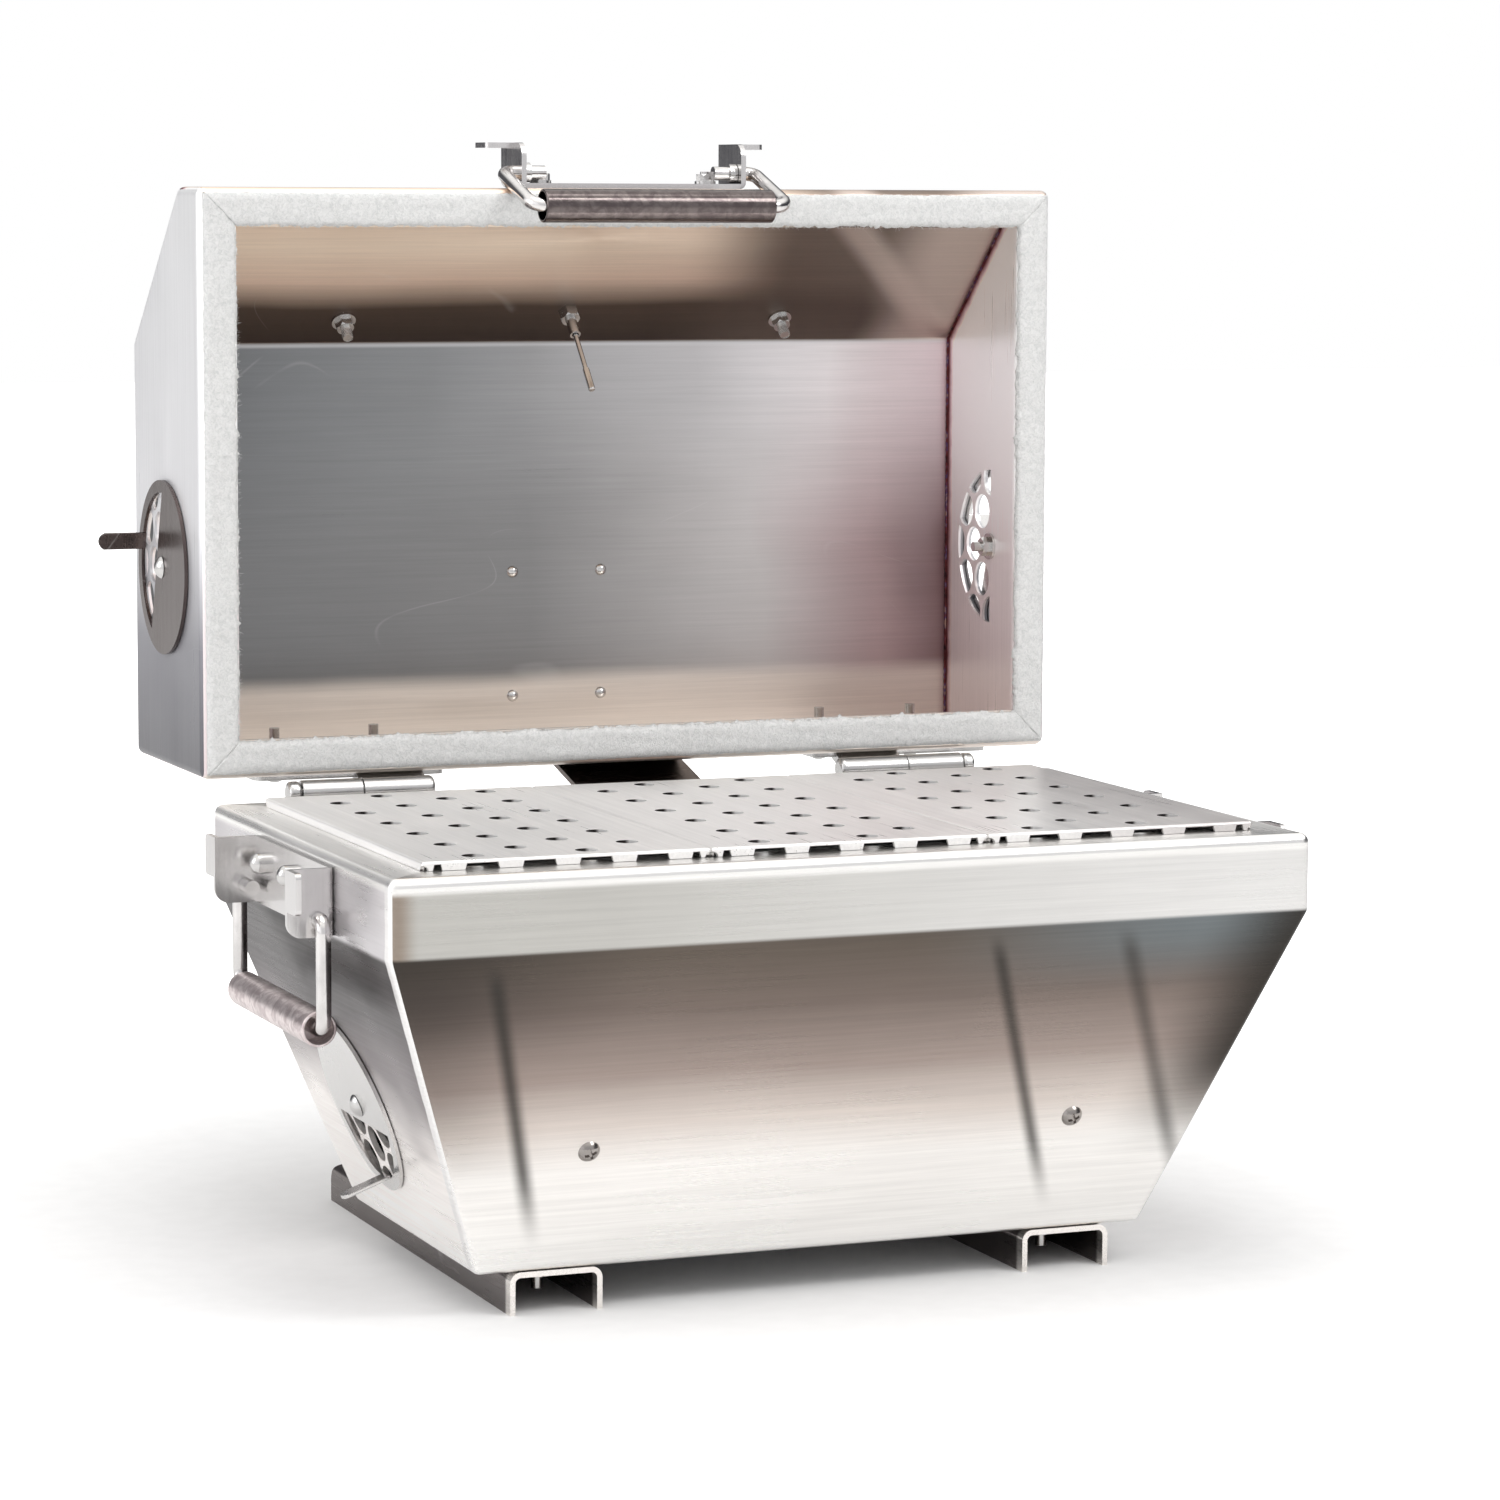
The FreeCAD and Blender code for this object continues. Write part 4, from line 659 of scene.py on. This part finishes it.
def felt_columns(bm, corner, along, inward, length, seed):
    """Rows of (face vertex, back vertex) pairs, one row for each step along the strip."""
    rng = random.Random(seed)
    columns = int(length / FELT_CELL)
    pulls = [rng.uniform(-1, 1) for _ in range(columns + 1)]
    grid = []
    for i in range(columns + 1):
        pull = 0.7 * pulls[i] + 0.3 * pulls[max(i - 1, 0)]
        line = []
        for j in range(FELT_ROWS + 1):
            across = j / FELT_ROWS
            inset = FELT_W * across
            reach = inset + (length - 2 * inset) * i / columns
            edge = 0.0
            if j == FELT_ROWS:
                tuft = 0.9 if rng.random() < TUFT_SHARE else 0.0
                edge = (0.6 * pull + 0.45 * wave(i * 0.21, seed) + tuft) * INNER_PULL
            elif j == 0:
                edge = pull * OUTER_PULL
            swell = 1.0 - 0.55 * (abs(2 * across - 1) ** 6)
            lift = FELT_T * swell * (0.93 + 0.05 * wave(i * 0.17 + j * 1.3, seed)) + rng.uniform(-PIT, PIT)
            base = corner + along * reach + inward * (inset + edge)
            face = base + Vector((0, -min(lift, FELT_T * 1.05), 0))
            line.append((bm.verts.new(face), bm.verts.new(base)))
        grid.append(line)
    return grid


def felt_strip(name, corner, along, inward, length, seed):
    """One strip: starts at an outer corner, runs along, and is mitred at both ends."""
    bm = bmesh.new()
    grid = felt_columns(bm, corner, along, inward, length, seed)
    for left, right in zip(grid, grid[1:]):
        for j in range(FELT_ROWS):
            a, b, c, d = left[j], right[j], right[j + 1], left[j + 1]
            bm.faces.new((a[0], b[0], c[0], d[0]))
            bm.faces.new((a[1], d[1], c[1], b[1]))
        bm.faces.new((left[0][0], left[0][1], right[0][1], right[0][0]))
        bm.faces.new((left[-1][0], right[-1][0], right[-1][1], left[-1][1]))
    for line in (grid[0], grid[-1]):
        for a, b in zip(line, line[1:]):
            bm.faces.new((a[0], b[0], b[1], a[1]))
    return piece(name, bm, "felt", "lid")


def felt_fibres(name, corner, along, inward, length, seed):
    """Loose fibres standing off the strip's inner edge and face."""
    rng = random.Random(seed)
    bm = bmesh.new()
    for _ in range(int(length / FIBRE_STEP)):
        at_edge = rng.random() < EDGE_FIBRE_SHARE
        across = 1.0 if at_edge else rng.uniform(0.0, 1.0)
        inset = FELT_W * across
        reach = rng.uniform(inset + 1 * MM, length - inset - 1 * MM)
        height = rng.uniform(0.2, 0.95) if at_edge else 0.9
        root = inset - (0.6 * MM if at_edge else 0)
        start = corner + along * reach + inward * root + Vector((0, -FELT_T * height, 0))
        swing = rng.uniform(-1.2, 1.2)
        if at_edge:
            out = inward * math.cos(swing) + along * math.sin(swing)
            size = rng.uniform(0.8, 3.4) * MM
        else:
            out = (along * rng.uniform(-1, 1) + inward * rng.uniform(-1, 1)).normalized()
            size = rng.uniform(1.0, 2.5) * MM
        curl = Vector((rng.uniform(-0.5, 0.5), -rng.uniform(0.0, 0.35), rng.uniform(-0.5, 0.5)))
        bend = start + out * size * 0.5 + curl * size * 0.2
        tip = start + out * size * 0.8 + curl * size * 0.7
        thick = rng.uniform(0.05, 0.11) * MM
        tube(bm, (start, bend, tip), (thick, thick * 0.8, thick * 0.2), 3)
    return piece(name, bm, "felt", "lid")


RIGHT, UP = Vector((1, 0, 0)), Vector((0, 0, 1))
FELT_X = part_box("felt_right")[1].x
FELT_LOW_Z, FELT_HIGH_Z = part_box("felt_back")[0].z, FELT_FRONT_HIGH.z
LOW_LEFT = Vector((-FELT_X, FELT_BACK_Y, FELT_LOW_Z))
LOW_RIGHT = Vector((FELT_X, FELT_BACK_Y, FELT_LOW_Z))
HIGH_LEFT = Vector((-FELT_X, FELT_BACK_Y, FELT_HIGH_Z))
STRIPS = (
    ("felt_back", LOW_LEFT, RIGHT, UP, 2 * FELT_X),
    ("felt_front", HIGH_LEFT, RIGHT, -UP, 2 * FELT_X),
    ("felt_left", LOW_LEFT, UP, RIGHT, FELT_HIGH_Z - FELT_LOW_Z),
    ("felt_right", LOW_RIGHT, UP, -RIGHT, FELT_HIGH_Z - FELT_LOW_Z),
)
for index, (node, *outline) in enumerate(STRIPS):
    strip = felt_strip(node + "_wool", *outline, SEED + index)
    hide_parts(node)
    felt_fibres(node + "_fibres", *outline, SEED + 10 + index)


# ---- weld beads up the inside corners of the lid
BEAD_STEP, BEAD_R, BEAD_RIPPLE = 1.1 * MM, 0.95 * MM, 0.15 * MM


def weld_bead(name, side):
    """Rippled bead along the back wall and up the slanted one; side is -1 or 1."""
    bm = bmesh.new()
    x = side * (LID_X - SHEET)
    path = [
        Vector((x, LID_BACK - SHEET, LID_LOW + SHEET)),
        Vector((x, LID_BACK - SHEET, SLANT_LOW_Z - 1.2 * MM)),
        Vector((x, LID_BACK - SLANT_FROM_BACK - 1.3 * MM, LID_TOP - SHEET)),
    ]
    points, radii = [], []
    for a, b in zip(path, path[1:]):
        count = int((b - a).length / BEAD_STEP)
        for i in range(count):
            ripple = 0.5 + 0.5 * math.cos(i * math.pi / 2.0)
            points.append(a.lerp(b, i / count))
            radii.append(BEAD_R + BEAD_RIPPLE * ripple)
    tube(bm, points, radii, 8)
    piece(name, bm, "weld", "lid")


for side, label in ((-1, "left"), (1, "right")):
    weld_bead("lid_weld_" + label, side)


# ---- screw threads on the two slant bolts whose ends show
THREAD_STEPS = 14
THREAD_CREST, THREAD_SINK, THREAD_FLANK = 0.28 * MM, 0.05 * MM, 0.42
BOLT_R, BOLT_PITCH, BOLT_END = 3.0 * MM, 1.0 * MM, 6.9 * MM
NUT_FACE = SHEET + 6.8 * MM
WASHER_R = 7.2 * MM
BOLT_DOWN_SLANT = 0.838


def thread(bm, start, axis, length, radius, pitch):
    """Ridge winding up a plain bolt end, fading out at both of its own ends."""
    axis = axis.normalized()
    side = axis.orthogonal().normalized()
    other = axis.cross(side)
    count = int(length / pitch * THREAD_STEPS)
    flank = axis * pitch * THREAD_FLANK
    rings = []
    for i in range(count + 1):
        angle = 2 * math.pi * i / THREAD_STEPS
        out = side * math.cos(angle) + other * math.sin(angle)
        middle = start + axis * (pitch * i / THREAD_STEPS)
        fade = min(1.0, i / THREAD_STEPS, (count - i) / THREAD_STEPS)
        root = middle + out * (radius - THREAD_SINK)
        crest = middle + out * (radius + THREAD_CREST * fade)
        rings.append([bm.verts.new(place) for place in (root - flank, crest, root + flank)])
    for a, b in zip(rings, rings[1:]):
        for k in range(3):
            bm.faces.new((a[k], a[(k + 1) % 3], b[(k + 1) % 3], b[k]))
    bm.faces.new(rings[0][::-1])
    bm.faces.new(rings[-1])


def bolt_threads():
    bm = bmesh.new()
    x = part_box("slant_fasteners")[1].x - WASHER_R
    top = Vector((0, LID_BACK - SLANT_FROM_BACK, LID_TOP))
    on_wall = top + Vector((0, SLANT_FROM_BACK, -SLANT_FROM_TOP)) * BOLT_DOWN_SLANT
    for side in (-1, 1):
        start = Vector((side * x, on_wall.y, on_wall.z)) - SLANT_OUT * NUT_FACE
        thread(bm, start, -SLANT_OUT, BOLT_END, BOLT_R, BOLT_PITCH)
    piece("lid_bolt_threads", bm, "bolts", "lid")


bolt_threads()


# ---- thermometer scale: ticks standing just proud of the dial
TICKS, TICK_STEP, FIRST_TICK, MAJOR_EVERY = 51, 5.0, -35, 10
TICK_OUTER, MAJOR_INNER, MINOR_INNER = 17.0 * MM, 12.5 * MM, 14.8 * MM
MAJOR_HALF, MINOR_HALF = 0.45 * MM, 0.2 * MM
DIAL_FACE, TICK_RISE = 5.78 * MM, 0.12 * MM


def gauge_scale():
    needle = next(j for j in frame["joints"] if j["name"] == "needle_turn")
    pivot, dial_out = Vector(needle["pos_m"]), Vector(needle["axis"]).normalized()
    dial_up = dial_out.cross(RIGHT)
    base = pivot + dial_out * DIAL_FACE
    bm = bmesh.new()
    for i in range(TICKS):
        angle = math.radians(FIRST_TICK + i * TICK_STEP)
        out = RIGHT * math.cos(angle) + dial_up * math.sin(angle)
        across = dial_out.cross(out)
        major = i % MAJOR_EVERY == 0
        inner = MAJOR_INNER if major else MINOR_INNER
        half = MAJOR_HALF if major else MINOR_HALF
        outline = ((inner, -half), (TICK_OUTER, -half), (TICK_OUTER, half), (inner, half))
        corners = [base + out * reach + across * aside for reach, aside in outline]
        low = [bm.verts.new(corner) for corner in corners]
        high = [bm.verts.new(corner + dial_out * TICK_RISE) for corner in corners]
        bm.faces.new(low[::-1])
        bm.faces.new(high)
        for k in range(4):
            bm.faces.new((low[k], low[(k + 1) % 4], high[(k + 1) % 4], high[k]))
    piece("gauge_scale", bm, "ink", "lid", smooth=False)


gauge_scale()


# ------------------------------------------------------------------ floor, light and camera
def placed(name, data):
    made = bpy.data.objects.new(name, data)
    bpy.context.scene.collection.objects.link(made)
    return made


FLOOR_HALF = 12.0
PAPER_FROM, PAPER_TO, PAPER_GLOW = 0.25, 1.3, 0.9


def paper_material():
    """Near-white paper with a painted glow, seen by the camera only, that brightens it away from the object.
    """
    g = Graph("floor_paper")
    paper = g.span(g.noise(g.coords, 60.0, 3.0), 0.3, 0.7)
    g.feed(g.bsdf.inputs["Base Color"], g.mix(paper, (0.84, 0.84, 0.84), (0.86, 0.86, 0.86)))
    g.bsdf.inputs["Roughness"].default_value = 0.8
    away = g.math("SQRT", g.plus(g.times(g.x, g.x), g.times(g.y, g.y)))
    seen = g.add("ShaderNodeLightPath").outputs["Is Camera Ray"]
    glow = g.times(g.span(away, PAPER_FROM, PAPER_TO, 0.0, PAPER_GLOW), seen)
    g.feed(g.bsdf.inputs["Emission Strength"], glow)
    g.bsdf.inputs["Emission Color"].default_value = (1.0, 1.0, 1.0, 1.0)
    return g.material


bm = bmesh.new()
bmesh.ops.create_grid(bm, x_segments=2, y_segments=2, size=FLOOR_HALF)
floor_mesh = bpy.data.meshes.new("floor")
bm.to_mesh(floor_mesh)
bm.free()
floor_mesh.materials.append(paper_material())
floor = placed("floor", floor_mesh)


def studio_world():
    """White backdrop; reflections see a grey room, bright left and above, dark right and behind."""
    world = bpy.data.worlds.new("studio")
    world.use_nodes = True
    sky = Graph.__new__(Graph)
    sky.tree = world.node_tree
    sky.tree.nodes.clear()
    axes = sky.add("ShaderNodeSeparateXYZ")
    sky.feed(axes.inputs[0], sky.add("ShaderNodeTexCoord").outputs["Generated"])
    to_right, to_back, to_top = axes.outputs
    room = sky.ramp(sky.span(to_back, -0.9, 0.9, 0.0, 1.0, False), [
        (0.0, (0.80, 0.80, 0.82)), (0.45, (0.95, 0.95, 0.96)), (0.7, (0.55, 0.55, 0.57)),
        (0.92, (0.10, 0.10, 0.11)),
    ])
    room = sky.mix(sky.span(to_right, 0.55, 0.85), room, (0.07, 0.07, 0.08))
    room = sky.mix(sky.span(to_right, -0.60, -0.85), room, (1.25, 1.25, 1.28))
    room = sky.mix(sky.span(to_top, 0.35, 0.75), room, (1.25, 1.24, 1.22))
    seen = sky.add("ShaderNodeLightPath").outputs["Is Camera Ray"]
    backdrop = sky.add("ShaderNodeBackground")
    sky.feed(backdrop.inputs["Color"], sky.mix(seen, room, (1.0, 1.0, 1.0)))
    backdrop.inputs["Strength"].default_value = 1.0
    sky.feed(sky.add("ShaderNodeOutputWorld").inputs["Surface"], backdrop.outputs[0])
    return world


bpy.context.scene.world = studio_world()


def softbox(name, place, target, width, height, power):
    light = bpy.data.lights.new(name, "AREA")
    light.shape = "RECTANGLE"
    light.size, light.size_y, light.energy = width, height, power
    lamp = placed(name, light)
    lamp.location = place
    lamp.rotation_mode = "QUATERNION"
    lamp.rotation_quaternion = (Vector(target) - Vector(place)).to_track_quat("-Z", "Y")


CENTRE = (LOW0 + HIGH0) / 2
softbox("key", (1.5, -1.7, 2.4), CENTRE, 1.2, 1.2, 26)
softbox("left", (-2.2, 0.2, 1.1), CENTRE, 1.0, 1.6, 10)
softbox("top", (-0.2, -0.3, 2.6), CENTRE, 1.8, 1.4, 16)

CAMERA_AT = Vector((-0.99517, -2.53824, 0.58550))
YAW, PITCH, ROLL = 0.3845, 0.1141, 0.0044
FOCAL_LENGTH, SENSOR_WIDTH = 116.7, 36.0


def photo_camera():
    """Camera from the front left, looking slightly down."""
    data = bpy.data.cameras.new("camera")
    data.sensor_width, data.lens = SENSOR_WIDTH, FOCAL_LENGTH
    data.clip_start, data.clip_end = 0.05, 60.0
    forward = Vector((math.sin(YAW) * math.cos(PITCH), math.cos(YAW) * math.cos(PITCH), -math.sin(PITCH)))
    level = Vector((math.cos(YAW), -math.sin(YAW), 0))
    above = level.cross(forward)
    right = level * math.cos(ROLL) + above * math.sin(ROLL)
    above = above * math.cos(ROLL) - level * math.sin(ROLL)
    camera = placed("camera", data)
    turn = Matrix((right, above, -forward)).transposed().to_4x4()
    camera.matrix_world = Matrix.Translation(CAMERA_AT) @ turn
    return camera


bpy.context.scene.camera = photo_camera()
bpy.context.scene.view_settings.view_transform = "Standard"
